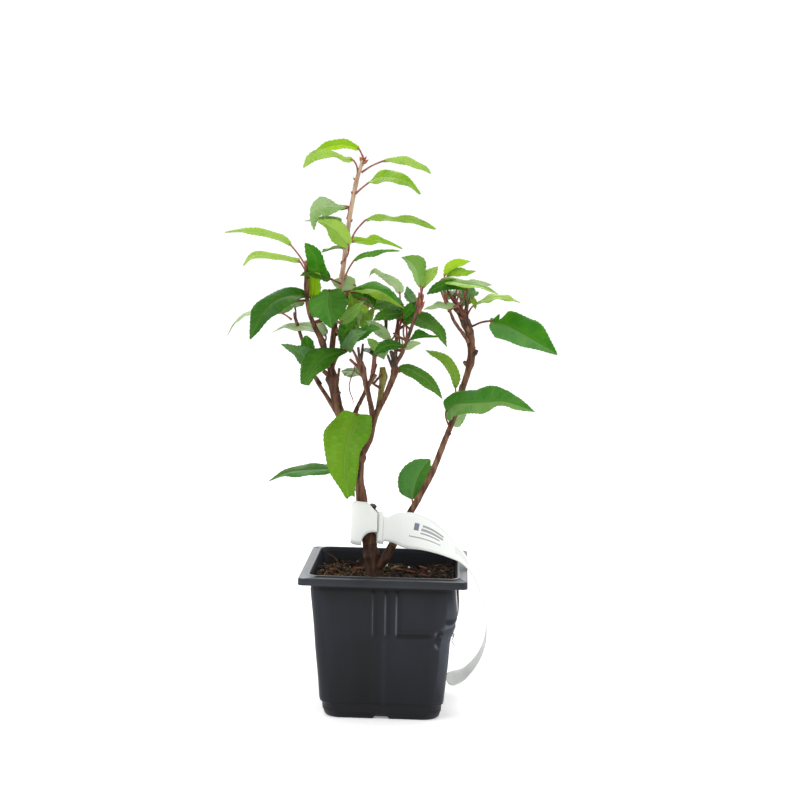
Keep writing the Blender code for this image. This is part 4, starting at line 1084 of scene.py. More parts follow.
# For each mass of the CAD part, the leaves that stand for it: tone, width (or half widths at even steps
# from base to tip), fold of the halves upwards and roll of the margins downwards in degrees, lean and turn
# of the upper side, place on the limb where the leaf stalk starts, then the midrib from the blade's base to
# its tip. Where they differ, a tone is given for the left and right halves, half widths for the right and
# left, and lean and turn for base and tip. Two tones paint light and shade on the halves: one half lighter,
# as if lit, the other darker, as if shaded.
LEAVES = {
    "tip_left": [
        (("citrus", "acid"), ((1.8, 2.3, 3.4, 4, 3.9, 1.8, 0.6), (1.8, 2.3, 3.1, 3.1, 2.5, 1.2, 0.6)), 8,
         10, (58, 0), (-17.5, 2, 298), ((-19.5, 5, 307), (-23, 5.5, 308.5), (-27.5, 6, 309.5),
         (-31.5, 7, 309.5), (-36, 8, 308.5), (-40.5, 9, 307), (-46, 10, 304.5))),
        ("lime", ((1.8, 1.5, 1.8, 2.7, 3.3, 2.7, 0.4), (1.5, 1.5, 1.8, 3, 3.3, 2.4, 0.4)), 8, 10, (58, 0),
         (-20, 3, 292), ((-22.5, 0, 301), (-26.5, -1, 301), (-30.5, -2, 303), (-34.5, -4, 304),
         (-40, -6, 303.5), (-44.5, -8, 301), (-48.5, -10, 296)))],
    "tip_right_upper": [
        ("lime", (0.7, 1.9, 3.1, 3.6, 3.3, 2.4, 0.5), 8, 14, ((48, 0), (48, 0.2)), (-18, 3, 294.5),
         ((-6.5, 6, 301), (-3, 8, 301.5), (1.5, 10, 302), (6, 12, 301.5), (10, 14, 300.5),
         (15, 16, 298.5), (19.5, 18, 295.5)))],
    "tip_right_lower": [
        (("bright", "spring"), ((3.2, 5.8, 6, 5.2, 4, 2, 0.7), (2.6, 4.8, 5.2, 4.8, 3.8, 1.8, 0.7)), 8,
         14, ((50, -0.1), (48, 0.2)), (-21, 3, 283), ((-12, -3, 290), (-8.5, -8, 291.5), (-4, -12, 292),
         (0.5, -16, 291.5), (5, -20, 290), (10, -24, 287.5), (15, -27, 282.5)))],
    "upper_left": [
        (("sage", "pale"), ((0.9, 1.2, 3.6, 6.7, 4.5, 2.2, 0.3), (0.9, 2, 5.3, 5.3, 2.8, 1.9, 0.3)), 4, 6,
         ((74, 0), (76, 0)), (-25.5, 5, 269), ((-25.5, 5, 276), (-31.5, 7, 275.5), (-37, 9, 275.5),
         (-41.5, 11, 274), (-43.5, 12, 271), (-44.5, 13, 267.5), (-44.5, 14, 263))),
        ("soft", 11, 10, 20, (20, 0), (-26, 6, 264.5), ((-29.5, 10, 267), (-38, 17, 269.5),
         (-51, 25, 268)))],
    "mid_left": [
        (("spring", "lime"), ((2.6, 5.4, 6.4, 5.6, 3, 0.6), (2.6, 5, 6.2, 5.4, 3, 0.6)), 6, 8, (64, 0),
         (-28.5, 7, 244.5), ((-24, 2, 254.5), (-27, 0, 258), (-30.5, -2, 262), (-33.5, -5, 264.5),
         (-36.5, -8, 266.5), (-40, -10, 267.5))),
        ("spring", 11, 8, 14, (14, 0), (-26.5, 7, 251), ((-27.5, 10, 254), (-33.5, 18, 253.5),
         (-42, 27, 250.5)))],
    "mid_right": [
        ("spring", ((1.4, 2.4, 2.6, 2.2, 2.6, 2.2, 0.5), (1.4, 2.4, 2.6, 2.4, 3.8, 2.6, 0.5)), 8, 14,
         ((46, 0), (48, 0.15)), (-24.5, 6, 255), ((-15.5, 2, 268.5), (-10.5, -1, 270), (-5, -4, 270),
         (0.5, -8, 269.5), (7, -11, 269.5), (14, -15, 268), (23.5, -19, 264.5)))],
    "mid_back": [
        ("acid", ((3.6, 3.6, 3.4, 3.2, 2.2, 1.2, 0.4), (3, 3, 3, 3.8, 2.2, 1.2, 0.4)), 8, 14,
         ((48, 0), (48, 0.1)), (-25.5, 7, 252), ((-23, 12, 257), (-18.5, 16, 257.5), (-14, 20, 257.5),
         (-10.5, 24, 258.5), (-7, 28, 257.5), (-2.5, 31, 256.5), (4, 34, 253.5)))],
    "mid_low_right": [
        ("fresh", (1.2, 2, 2.4, 2.1, 1.7, 0.9, 0.3), 8, 14, ((46, -0.1), (46, 0)), (-27, 8, 235.5),
         ((-21.5, 6, 246.5), (-18.5, 3, 248.5), (-15, 1, 250), (-10.5, -1, 250.5), (-5.5, -3, 252),
         (-0.5, -6, 252.5), (4, -8, 252.5)))],
    "far_left_upper": [
        ("lime", (1.3, 2.8, 3.3, 3.1, 2.3, 1.5, 0.3), 8, 14, ((48, 0), (46, 0)), (-46.5, -7, 243),
         ((-54.5, -9, 254), (-58.5, -12, 257.5), (-64, -15, 259.5), (-70, -18, 261), (-76, -20, 261.5),
         (-81.5, -23, 261.5), (-88, -26, 260.5)))],
    "far_left_lower": [
        ("lime", (2.2, 1.9, 2, 2.6, 2.9, 2.8, 0.7), 8, 14, ((48, 0), (48, -0.2)), (-45.5, -6, 233),
         ((-50.5, -2, 245.5), (-56.5, 2, 246.5), (-62.5, 6, 247.5), (-69.5, 10, 248.5),
         (-75.5, 14, 248.5), (-80.5, 18, 247), (-85, 22, 242.5)))],
    "left_upright": [
        ("grass", ((3, 3.8, 4.4, 4.6, 4.4, 3, 0.5), (4.2, 5.2, 5.8, 5.6, 4.4, 2.6, 0.5)), 14, 12,
         ((74, -0.1), (80, 0.1)), (-33.5, 6, 236), ((-37.5, -3, 237.5), (-40, -7, 242.5),
         (-41.5, -11, 248), (-46.5, -14, 255.5))),
        ("dark", 9, 10, 12, (50, 0), (-28.5, 8, 233.5), ((-33.5, -2, 236.5), (-39.5, -6, 239.5),
         (-45, -8, 239.5), (-49.5, -10, 238))),
        ("acid", (3, 4.4, 4.4, 4.4, 4.2, 4, 3), 6, 4, ((70, -0.3), (70, -0.2)), (-39.5, -2, 229),
         ((-43, -2, 226), (-42.5, -4, 232.5), (-42, -7, 240)))],
    "left_broad": [
        ("dark", ((1.5, 6, 7.5, 7, 7.5, 5, 0.3), (1, 4.5, 8, 8.5, 9, 6, 0.3)), 8, 12,
         ((44, 0), (54, -0.45)), (-44, -3, 223), ((-44.5, -3, 226), (-49.5, -7, 227.5), (-55.5, -13, 227),
         (-61.5, -19, 224.5), (-66, -24, 220), (-69.5, -29, 214), (-73, -34, 204.5)))],
    "left_back": [
        ("pale", 14, 10, 18, ((22, 0), (24, -0.2)), (-57.5, 24, 212.5), ((-64, 28, 216), (-75.5, 36, 217),
         (-85.5, 43, 214), (-93, 48, 209), (-98, 52, 201))),
        ("mid", 15, 12, 20, ((0, 0), (-20, 0)), (-55, 23.5, 212), ((-56, 29, 219), (-60, 40, 222),
         (-66, 52, 214)))],
    "left_inner_back": [
        ("frost", 15, 10, 18, ((22, 0), (24, 0)), (-36.5, 2, 201.5), ((-36.5, 7, 205), (-47.5, 20, 209),
         (-60.5, 32, 208.5), (-70.5, 42, 204)))],
    "front_round": [
        (("deep", "blue"), ((3, 6, 9.8, 10.4, 9, 5.5, 0.5), (6, 10.8, 12, 11.2, 8.8, 4.8, 0.5)), 4, 8,
         ((62, 0), (70, 0)), (-30.5, 8, 223), ((-34, -3, 230.5), (-34.5, -9, 226), (-33.5, -15, 221),
         (-32, -20, 216.5), (-31, -24, 211)))],
    "low_cluster": [
        ("deep", ((1, 3.4, 6.4, 9.4, 8.5, 6.4, 2.6), (1, 2.4, 4.6, 6.2, 6.2, 4.2, 2.4)), 6, 8,
         ((66, -0.1), (70, -0.3)), (-30, 7, 193.5), ((-24, 1, 197), (-30, -6, 196), (-36.5, -14, 193),
         (-40.5, -22, 188), (-44, -29, 180.5))),
        ("grey", ((5, 6.5, 6.5, 5.4, 3.4, 1.8, 0), (4, 5.4, 5, 4.2, 3, 1.4, 0)), 8, 8, ((66, 0), (60, 0)),
         (-32, 7, 188), ((-38.5, -2, 189), (-45.5, -6, 193), (-52, -10, 197.5), (-59, -14, 201))),
        ("grass", ((3, 4, 4.4, 4.4, 3.8, 2.8, 1), (3, 4, 4, 4, 3.6, 2.6, 1)), 4, 6, ((80, -0.1), (80, 0)),
         (-45, 7, 187.5), ((-46, 2, 194), (-46, 0, 200), (-46.5, -2, 205)))],
    "centre_blue": [
        ("soft", (2, 3.6, 4, 3.6, 2.4, 1.2, 0), 8, 8, (70, 0.1), (-31, 9, 214), ((-27.6, -4, 213),
         (-23.5, -6, 216.5), (-19, -7, 220.5), (-14.5, -8, 225))),
        ("fresh", (1.6, 2.8, 3.2, 2.8, 1.8, 1, 0), 8, 8, (70, 0), (-30.5, 9, 209), ((-28, -4, 208),
         (-24.5, -5, 211), (-21, -6, 213.5), (-17.5, -7, 215.5))),
        ("grey", ((3, 4.5, 4.5, 4.2, 3.6, 2.4, 0), (3, 4, 4, 4, 3.4, 2.2, 0)), 8, 6,
         ((80, -0.3), (76, -0.2)), (-30.5, 9, 208.5), ((-24, 0, 197.5), (-22, -6, 203),
         (-18.5, -12, 206.5), (-12.5, -17, 209))),
        ("deep", ((2.5, 4, 5, 5, 4, 2, 0), (2, 3, 3.4, 3, 2.4, 1.4, 0)), 8, 6, ((80, -0.3), (80, 0)),
         (-30.5, 9, 208), ((-25.5, 4, 198), (-26, -2, 204.5), (-28, -8, 211.5))),
        ("pale", 9, 10, 10, (70, 0.2), (-30, 8, 217), ((-25, 2, 209.5), (-20, -3, 212), (-18, -6, 216))),
        ("blue", (1.1, 2.7, 3.3, 2.3, 0.3), 6, 8, (76, 0), (-30, 9, 206), ((-19, -8, 203.5),
         (-16, -9, 206.5), (-13, -10, 209), (-9.5, -11, 210.5), (-5.5, -12, 210.5)))],
    "centre_arch": [
        (("grass", "yellow"), ((2, 2.8, 5.4, 7, 6.4, 3.4, 0), (2, 4.6, 7.4, 6.2, 3.6, 2, 0)), 12, 18,
         ((38, -0.1), (38, 0.2)), (-28.5, 9, 229), ((-22.5, 5, 230), (-15, -1, 231.5), (-7, -8, 231),
         (0, -14, 227.5), (7.5, -19, 222))),
        ("dark", ((2, 2.6, 2.8, 2.6, 2.2, 1.6, 0), (2, 2.6, 2.8, 2.8, 2.4, 1.8, 0)), 8, 6,
         ((70, -0.3), (80, 0.6)), (-29, 9, 224.5), ((-21.5, 3, 229), (-15.5, -3, 229), (-10.5, -8, 226.5),
         (-9, -11, 222))),
        ("yellow", (1, 2.4, 2.6, 2.6, 2.4, 2, 0.5), 6, 8, ((70, 0), (75, 0.2)), (-29, 9, 224.5),
         ((-22.5, 5, 230), (-21.5, 0, 223.5), (-21, -3, 216.5), (-18.5, -6, 210))),
        ("pale", ((3, 5, 5.6, 5.2, 4, 2.4, 0), (3, 5, 5, 4.6, 3.6, 2, 0)), 6, 8, ((70, 0.2), (70, 0.4)),
         (-27.5, 9, 228.5), ((-20.5, 10, 233), (-27, 9, 233), (-34, 8, 235)))],
    "centre_back": [
        ("acid", (1, 2.8, 3, 3, 2.6, 2, 0), 8, 10, ((72, 0.2), (80, 0.3)), (-29.5, 9, 223.5),
         ((-22.5, 16, 224), (-18.5, 26, 221), (-16, 34, 216), (-16, 42, 209))),
        ("soft", (1, 3, 4, 4.2, 3.6, 2.4, 0), 8, 10, ((72, 0.2), (80, 0.3)), (-30, 9, 218),
         ((-24.5, 14, 219), (-21, 22, 215.5), (-17, 30, 213), (-12.5, 38, 207))),
        ("mid", 17, 12, 22, ((-15, 0), (-60, 0)), (-30, 9, 223), ((-27, 18, 228), (-22, 32, 228),
         (-16, 50, 216))),
        ("mid", 16, 12, 22, ((-20, 0.3), (-60, 0.3)), (-30, 9, 221), ((-24, 20, 224), (-12, 36, 224),
         (-3, 54, 213))),
        ("spring", (1.1, 2.5, 3.1, 2.5, 0.3), 6, 8, (74, 0), (-29.5, 9, 223), ((-10.5, 12, 220),
         (-12, 13, 217.5), (-13.5, 14, 215), (-15.5, 15, 211.5), (-17, 16, 207.5))),
        ("leafy", (1.1, 2.8, 3.7, 2.8, 0.3), 6, 8, (74, 0), (-29.5, 9, 221), ((-18.5, 9, 223),
         (-20.5, 9.5, 221), (-23, 10, 217.5), (-25, 10.5, 214), (-27.5, 11, 209.5))),
        ("olive", (1.1, 2.6, 3.2, 2.6, 0.3), 6, 8, (70, 0), (-28.5, 9, 229), ((-14, 14, 225),
         (-10.5, 15, 224.5), (-6.5, 16, 223), (-2.5, 17, 221), (1, 18, 217.5)))],
    "centre_pale": [
        ("frost", (1.5, 3, 3.4, 2.4, 1.4, 1.3, 0), 6, 10, ((75, 0.4), (75, 0)), (3.5, 6, 213.5),
         ((4, 11, 228.5), (2.5, 14, 233), (-1.5, 17, 236), (-6.5, 19, 238.5), (-11, 21, 241),
         (-14, 22, 237.5)))],
    "centre_dark": [
        ("dark", ((1, 2.6, 3.4, 3.4, 3, 2, 0), (1, 3, 3.6, 3.6, 3, 1.8, 0)), 6, 6, (70, 0), (3, 3, 207.5),
         ((6, -3, 218.5), (1.5, -9, 218.5), (-4, -15, 217.5), (-9, -20, 215))),
        ("mid", (1, 2.6, 3, 3, 2.6, 1.8, 0), 8, 10, ((60, 0), (60, -0.2)), (3, 4, 211), ((5.5, 2, 223),
         (0.5, -4, 223.5), (-4.5, -9, 223), (-9.5, -14, 220.5))),
        ("dark", ((1, 2, 2.8, 3.4, 3.2, 2, 0), (1, 2, 2.8, 3.2, 3, 2.4, 0.5)), 6, 8, (66, 0),
         (5, -5, 198.5), ((7.5, -10, 201), (2.5, -15, 202), (-2.5, -21, 201.5), (-8, -27, 197.5))),
        ("pale", (1, 2, 3, 3.4, 3, 2, 0), 6, 8, (70, -0.3), (3, 4, 208.5), ((-0.5, 0, 203.5),
         (-4, -4, 207.5), (-9, -8, 211.5), (-13, -12, 214.5))),
        ("soft", (1, 2.4, 2.6, 2.4, 2, 1.4, 0), 6, 8, (70, -0.3), (-9, 1, 197), ((-7.5, -8, 198),
         (-9, -12, 202), (-12, -16, 205)))],
    "right_arch": [
        ("mid", ((1, 5, 5.6, 5.2, 4, 2, 0), (1, 5, 7, 6.4, 5, 2.6, 0)), 10, 10, ((40, 0), (44, 0.4)),
         (11, -9, 210), ((6, -1, 215.5), (12.5, -3, 216), (19, -7, 214), (25.5, -11, 210),
         (31, -15, 201.5))),
        ("grass", ((1, 2.6, 3.2, 3.2, 2.6, 1.6, 0), (1, 2.6, 3, 3, 2.4, 1.4, 0)), 6, 8, (70, 0),
         (5, -4, 201.5), ((5.5, -1, 215), (8.5, -3, 219.5), (12.5, -4, 224), (15.5, -5, 227))),
        ("grass", ((0.5, 1.4, 1.6, 1.2, 0.8, 0.5, 0), (0.5, 2, 4.6, 3, 0.8, 0.5, 0)), 6, 6,
         ((62, 0), (50, 0)), (9, -8, 202), ((10.5, 1, 204), (16, 6, 206), (22, 10, 205.5),
         (28.5, 14, 205.5))),
        ("grey", (1.1, 2.3, 2.8, 2, 0.3), 6, 8, (74, 0), (8.5, -8, 202.5), ((7, 2, 216), (5, 3, 219),
         (3.5, 4, 222.5), (1.5, 5, 226), (0.5, 6, 230))),
        ("fresh", (1.1, 2.8, 3.6, 2.8, 0.3), 6, 8, (72, 0), (8.5, -8, 203), ((7, -1, 212), (9, 0, 216),
         (11, 1, 219.5), (13, 2, 223.5), (15, 3, 227.5)))],
    "low_sickle": [
        ("mid", ((1, 4, 4.6, 5, 4.4, 2.4, 0), (1, 3.4, 4.4, 4.2, 3.4, 2, 0)), 8, 12, ((46, 0), (52, 0.3)),
         (3, -4, 186.5), ((4, -6, 188.5), (9.5, -10, 189), (16, -16, 186.5), (23, -22, 182),
         (29.5, -29, 174.5))),
        ("pale", 6, 8, 6, (60, 0), (6.5, -5, 198.5), ((8, -8, 200.5), (12, -12, 202), (17, -16, 203.5)))],
    "low_back": [
        (("pale", "soft"), 12, 8, 10, (40, 0), (-14, 13, 175), ((-17, 16, 182.5), (-22.5, 24, 184),
         (-29.5, 32, 183.5))),
        ("mid", 13, 12, 20, ((10, 0), (-20, 0)), (-9.2, 17, 188), ((-9, 24, 194), (-6, 36, 199),
         (0, 50, 200))),
        ("mid", 15, 12, 22, ((-18, 0), (-50, 0)), (-9.2, 17, 187), ((-11, 25, 193), (-10, 38, 196),
         (-6, 52, 189)))],
    "upright_pair": [
        (("sage", "soft"), ((1.4, 2.8, 4.6, 6.4, 7, 4, 0), (1, 2, 3, 3.4, 2.8, 1.2, 0)), 6, 8,
         ((80, 0.1), (70, 0.2)), (16, -12, 227.5), ((16, -11, 233), (14.5, -9, 237.5), (13.5, -6, 242),
         (10.5, -1, 246), (4.5, 3, 249))),
        ("lime", ((1, 2, 2.8, 3.2, 2.8, 1.8, 0), (1, 2, 2.8, 3.2, 3, 1.8, 0)), 6, 6,
         ((80, -0.1), (75, -0.2)), (16.5, -12, 226.5), ((17, -9, 232.5), (19, -5, 237), (21.5, -1, 241),
         (25, 4, 244.5))),
        ("grey", (1, 2, 2.6, 2.6, 2, 1.2, 0), 6, 6, (70, 0), (14, -11, 223.5), ((14, -8, 225.5),
         (11.5, -5, 226.5), (9, -2, 228.5), (7.5, 1, 231.5))),
        ("grey", (0.9, 2.2, 2.8, 2, 0.3), 6, 8, (74, 0), (14, -11, 221.5), ((15, -6, 222.5),
         (13, -4, 224.5), (11, -2, 227), (9.5, 0, 230), (8, 2, 233)))],
    "top_right": [
        ("citrus", ((0.8, 1.6, 2.4, 2.6, 2, 1.2, 0), (0.8, 2, 3.2, 3.4, 3, 1.6, 0)), 8, 8,
         ((66, -0.1), (60, 0)), (31.5, -3, 220), ((28.5, 3, 239), (30.5, 7, 243), (34, 12, 245.5),
         (38, 15, 246.5), (43, 18, 247.5))),
        (("bright", "acid"), ((1, 2.4, 3.2, 3.2, 2.6, 1.4, 0), (1, 2.4, 3, 2.8, 2, 1.2, 0)), 10, 8,
         (58, 0), (32, -3, 221), ((30, 6, 239), (35.5, 11, 241.5), (41, 16, 241.5), (46, 20, 242))),
        ("pale", 7, 8, 8, (40, 0), (35, 3, 223.5), ((40.5, 8, 235), (47, 14, 235.5), (55, 20, 234.5)))],
    "right_long": [
        ("dark", ((1.1, 2.4, 3.4, 3.4, 2, 0.3), (1.1, 2.3, 3.4, 3.7, 2.5, 0.3)), 6, 8, (66, 0),
         (31, -5, 220), ((41.5, -7, 232.5), (37.5, -8, 234), (33, -9, 235), (28, -10, 234.5),
         (23.5, -11, 232.5), (19.5, -12, 229.5))),
        (("soft", "lime"), ((1, 4.4, 5, 4.2, 3.4, 1.8, 0), (1, 4.4, 5, 4.4, 3.4, 1.8, 0)), 8, 14,
         ((32, 0), (28, 0.2)), (31.5, -5, 220.5), ((27, -5, 237.5), (33.5, -9, 236.5), (40.5, -15, 235.5),
         (48.5, -21, 234.5), (57.5, -28, 231))),
        ("pale", (1, 2.6, 3.4, 3.4, 2.6, 1.4, 0), 8, 10, ((40, 0), (40, -0.2)), (36.5, 2, 222.5),
         ((35.5, -2, 223), (27, -8, 223.5), (18, -14, 221.5)))],
    "right_tip": [
        ("lime", ((1, 3.4, 4.6, 4.6, 3.6, 2, 0), (1, 4.2, 5.2, 4.6, 3.6, 2, 0)), 8, 14,
         ((30, 0), (24, 0.1)), (41.5, 8, 218), ((46, 5, 224.5), (51.5, 1, 227), (57.5, -2, 228.5),
         (63.5, -6, 228), (70, -10, 226))),
        ("grey", ((1, 3, 4, 4.4, 4.6, 4.4, 3), (1, 2, 3, 3.6, 4, 4, 3)), 4, 4, ((80, -0.1), (80, 0)),
         (38, 7, 220.5), ((39, 7, 223), (41, 8, 228), (42.5, 9, 233.5))),
        ("yellow", ((1, 1.6, 1.8, 1.6, 1.2, 0.8, 0), (1, 1.8, 2.2, 2, 1.4, 0.8, 0)), 10, 6,
         ((75, 0.2), (75, 0.4)), (41, 8, 217.5), ((43.5, 5, 228), (45, 2, 225), (46, -1, 221.5)))],
    "right_back": [
        ("mid", 15, 12, 22, ((10, 0), (-30, 0.1)), (40, 5.2, 219.4), ((41, 12, 227), (40, 24, 230),
         (36, 38, 228))),
        ("dark", 16, 12, 22, ((-18, -0.2), (-40, -0.2)), (38.5, 4.6, 220.4), ((37, 14, 228),
         (34, 30, 230), (28, 46, 224))),
        ("mid", 14, 10, 18, ((20, 0.3), (-10, 0.4)), (44, 9, 211.5), ((54.5, 16, 214.6), (66, 27, 209),
         (79, 38, 200)))],
    "far_right": [
        (("grass", "greyleaf"), ((4.5, 9.5, 10, 7.6, 5.4, 3.4, 0.4), (1.5, 9, 11, 11, 9.4, 5.2, 0.4)), 6,
         8, ((60, 0), (58, 0.1)), (44, 9, 211.5), ((55, 6, 215), (63, 1, 213), (70.5, -5, 209.5),
         (79, -11, 205), (90, -18, 199)))],
    "narrow_right": [
        ("spring", ((1, 2.6, 3.4, 3.4, 3, 2, 0), (1, 2.6, 3.6, 3.6, 3, 2, 0)), 8, 10,
         ((60, 0.4), (55, 0.2)), (37, 7, 169), ((36, 9, 177), (35.5, 12, 184), (32, 15, 190.5),
         (26, 18, 194.5), (18.5, 21, 197)))],
    "right_low": [
        (("blue", "silver"), ((7, 10.5, 6, 7, 3, 2.8, 0), (5, 8.6, 10, 10.6, 8, 4.6, 0)), 6, 8,
         ((56, -0.15), (58, 0.1)), (33, 3, 156.5), ((31, 2, 164.5), (37, -4, 169.5), (45, -12, 171),
         (54, -19, 172.5), (63, -26, 173.5), (78.5, -34, 169.5))),
        ("pale", ((4, 4.6, 4.4, 3.6, 2.6, 1.6, 0), (3, 3.4, 3, 2.6, 2, 1.2, 0)), 6, 6,
         ((70, 0), (66, 0.2)), (33, 5, 156), ((33, 10, 157.5), (37.5, 14, 159.5), (43, 18, 163)))],
    "basal_right": [
        (("greyleaf", "blue"), ((2, 5, 6.5, 7.4, 7, 4.6, 0.5), (4, 7.5, 9.8, 10.8, 10, 6, 0.5)), 6, 8,
         ((78, -0.1), (70, -0.1)), (14.5, -1.5, 111.5), ((13.5, 3, 115), (14, 8, 119.5),
         (15.8, 13, 125.5), (18.8, 17, 131), (22.5, 20, 135.5)))],
    "basal_left": [
        (("blue", "deep"), ((1, 3.6, 5, 6, 6, 3.4, 0), (1, 4, 6.5, 7, 5, 2, 0)), 10, 14, (34, 0),
         (-17.5, 1, 132.5), ((-22.5, 4, 132), (-34.5, 10, 130), (-47.5, 17, 128), (-58, 23, 125.5),
         (-70.5, 29, 119)))],
    "hanging_front": [
        (("olive", "leafy"), ((7, 12.6, 14, 12.4, 9, 5.2, 2), (8.6, 11.6, 10.2, 8.4, 7.4, 6.4, 3.2)), 6,
         8, ((66, -0.1), (80, -0.1)), (-10, 0, 153.5), ((-17, -10, 163.5), (-19.5, -17, 156.5),
         (-21.5, -22, 148.5), (-22.5, -25, 140), (-22, -26.5, 131), (-20, -27, 120.5)))],
}
# Masses whose first leaf is damaged. The bite takes a share of the half width between places along the
# blade, beside a small lobe, and the torn tip is ragged by some millimetres at places across it
WOUNDS = {"far_right": "bite", "hanging_front": "torn"}
BITE = (0.076, 0.086, 0.122, 0.132)
BITE_SHARE = 0.68
BITE_LOBE = (0.06, 0.02, 0.4)
TORN_PLACES = (-1, -0.5, 0, 0.5, 1)
TORN_EDGE = (0.9, -0.9, 0.4, 1.3, -0.3)
TORN_FROM = 0.93
# Tones whose leaf stalks are red and old, and the skins of young and red stalks
OLD_TONES = ("dark", "deep", "blue", "grass", "mid")
STALK_BARKS = (
    ("stalk_young", 0.2, ((0.3, (120, 66, 58)), (0.5, (146, 88, 76)), (0.7, (150, 108, 80)))),
    ("stalk_red", 0.2, ((0.3, (88, 36, 34)), (0.5, (116, 56, 48)), (0.7, (122, 76, 58)))))
RED_STALK = 1


def both(value):
    """A value for each of two sides or ends; a row may give it once for both."""
    paired = isinstance(value, tuple) and isinstance(value[0], (tuple, str))
    return value if paired else (value, value)


def half_widths(shape, share):
    """A blade's half width along its length: as its row says, or drawn out at the tip for a plain width."""
    if isinstance(shape, tuple):
        half = np.interp(share, np.linspace(0, 1, len(shape)), shape)
        for _ in range(WIDTH_SMOOTHING):
            half[1:-1] = (half[:-2] + 2 * half[1:-1] + half[2:]) / 4
        return half * rounding(share / BASE_ROUNDING)
    peak = LENS_BASE / (LENS_BASE + LENS_TIP)
    share = np.clip(share, 1e-4, 1 - 1e-4)
    return shape / 2 * (share / peak) ** LENS_BASE * ((1 - share) / (1 - peak)) ** LENS_TIP


def facing(lean, turn):
    return np.array((turn, -math.sin(math.radians(lean)), math.cos(math.radians(lean))))


def blade_upper(leaf, source, wound):
    """The upper side of a blade, grooved, toothed and rolled, with what its other sides are made from."""
    _, outline, fold, roll, faces, _, spine = leaf
    length = route_length(spine)
    centre = smooth_route(spine, LEAF_ROWS)
    tangents = tangents_of(centre)
    share = np.linspace(0, 1, LEAF_ROWS)
    base_face, tip_face = both(faces)
    blend = step_between(share, 0, 1)[:, None]
    wanted = facing(*base_face) * (1 - blend) + facing(*tip_face) * blend
    ups = wanted - tangents * np.sum(wanted * tangents, axis=1)[:, None]
    ups /= np.maximum(np.linalg.norm(ups, axis=1), 1e-6)[:, None]
    sides = np.cross(tangents, ups)
    right, left = both(outline)
    halves = {-1: half_widths(left, share), 1: half_widths(right, share)}
    widest = max(halves[-1].max(), halves[1].max())
    full = np.clip(np.minimum(halves[-1], halves[1]) / widest * 2, 0, 1)
    if wound == "bite":
        gap = plateau(share, *BITE)
        halves[-1] *= 1 - BITE_SHARE * gap + 0.05 * gap * np.sin(share * 240)
        halves[-1] += humps(share, (BITE_LOBE,))
    teeth = TOOTH_SIZE * (np.mod(share * length / TOOTH_PITCH + source.uniform(), 1.0) - 0.5)
    teeth += EDGE_RISE * np.sin(share * length / EDGE_WAVE + source.uniform(0, 6)) * full
    swing = source.uniform(0, 2 * math.pi, 2)
    swells, sway = source.uniform(*BLADE_SWELLS), source.uniform(*BLADE_SWAY) * widest / SWAY_WIDTH
    sheets = {-1: [], 1: []}
    for hand, half in halves.items():
        lift = math.radians(max(fold, roll) + source.uniform(-3, 3))
        lift = lift + math.radians(BASE_FOLD) * np.exp(-share / 0.1)
        wave = np.sin(2 * math.pi * swells * share + swing[(hand + 1) // 2])
        offset = MIDRIB_HALF * np.clip(3 * full, 0.3, 1)
        sheets[hand].append(centre + sides * (hand * offset)[:, None])
        for v in LEAF_SPREAD:
            angles = lift[:, None] - 2 * math.radians(roll) * v * (np.arange(ROLL_STEPS) + 0.5) / ROLL_STEPS
            across, rise = half * v * np.cos(angles).mean(axis=1), half * v * np.sin(angles).mean(axis=1)
            if v == LEAF_SPREAD[-1]:
                across = across + teeth * np.clip(half, 0, 1)
            across = np.maximum(across, offset + 0.05 * v)
            phase = (share * length - VEIN_SLANT * half * v) / VEIN_PITCH + (0.5 if hand > 0 else 0)
            groove = (0.5 + 0.5 * np.cos(2 * math.pi * phase)) ** 3
            rise = rise - VEIN_DEPTH * groove * (1 - v ** 3) * full + sway * wave * v * v * full
            sheets[hand].append(centre + sides * (hand * across)[:, None] + ups * rise[:, None])
    rib = centre - ups * (MIDRIB_SINK * full)[:, None]
    above = np.array(sheets[-1][::-1] + [rib] + sheets[1]).transpose(1, 0, 2)
    if wound == "torn":
        jag = np.interp(np.linspace(-1, 1, above.shape[1]), TORN_PLACES, TORN_EDGE)
        above += tangents[:, None] * (jag * step_between(share, TORN_FROM, 1.0)[:, None])[:, :, None]
    return above, ups, full, share, length, widest


def blade_patches(above, share, length, widest, source):
    """The skin of each face of the upper side: patches, a slow change, and lighter lines by the veins."""
    count = above.shape[1]
    middle = count // 2
    spots = above.reshape(-1, 3) + source.uniform(0, 50, 3)
    swell = ripple(spots, PATCH_SIZE, seed=71).reshape(LEAF_ROWS, count)
    sway_along, sway_across = source.uniform(-0.9, 0.9), source.uniform(-0.6, 0.6)
    column = np.arange(count - 1)
    across = (column - middle + 0.5) / middle
    level = 0.75 * swell[:, :-1] + sway_along * (2 * share[:, None] - 1) + sway_across * across
    across = np.abs(across)
    phase = (share[:-1, None] * length - VEIN_SLANT * widest * across) / VEIN_PITCH
    phase = phase + 0.5 * (column >= middle)
    level[:-1] += (np.cos(2 * math.pi * phase) > 0.75) & (across > 0.15) & (across < 0.9)
    return LEVEL_SKINS[np.clip(np.round(level), -2, 2).astype(int) + 2]


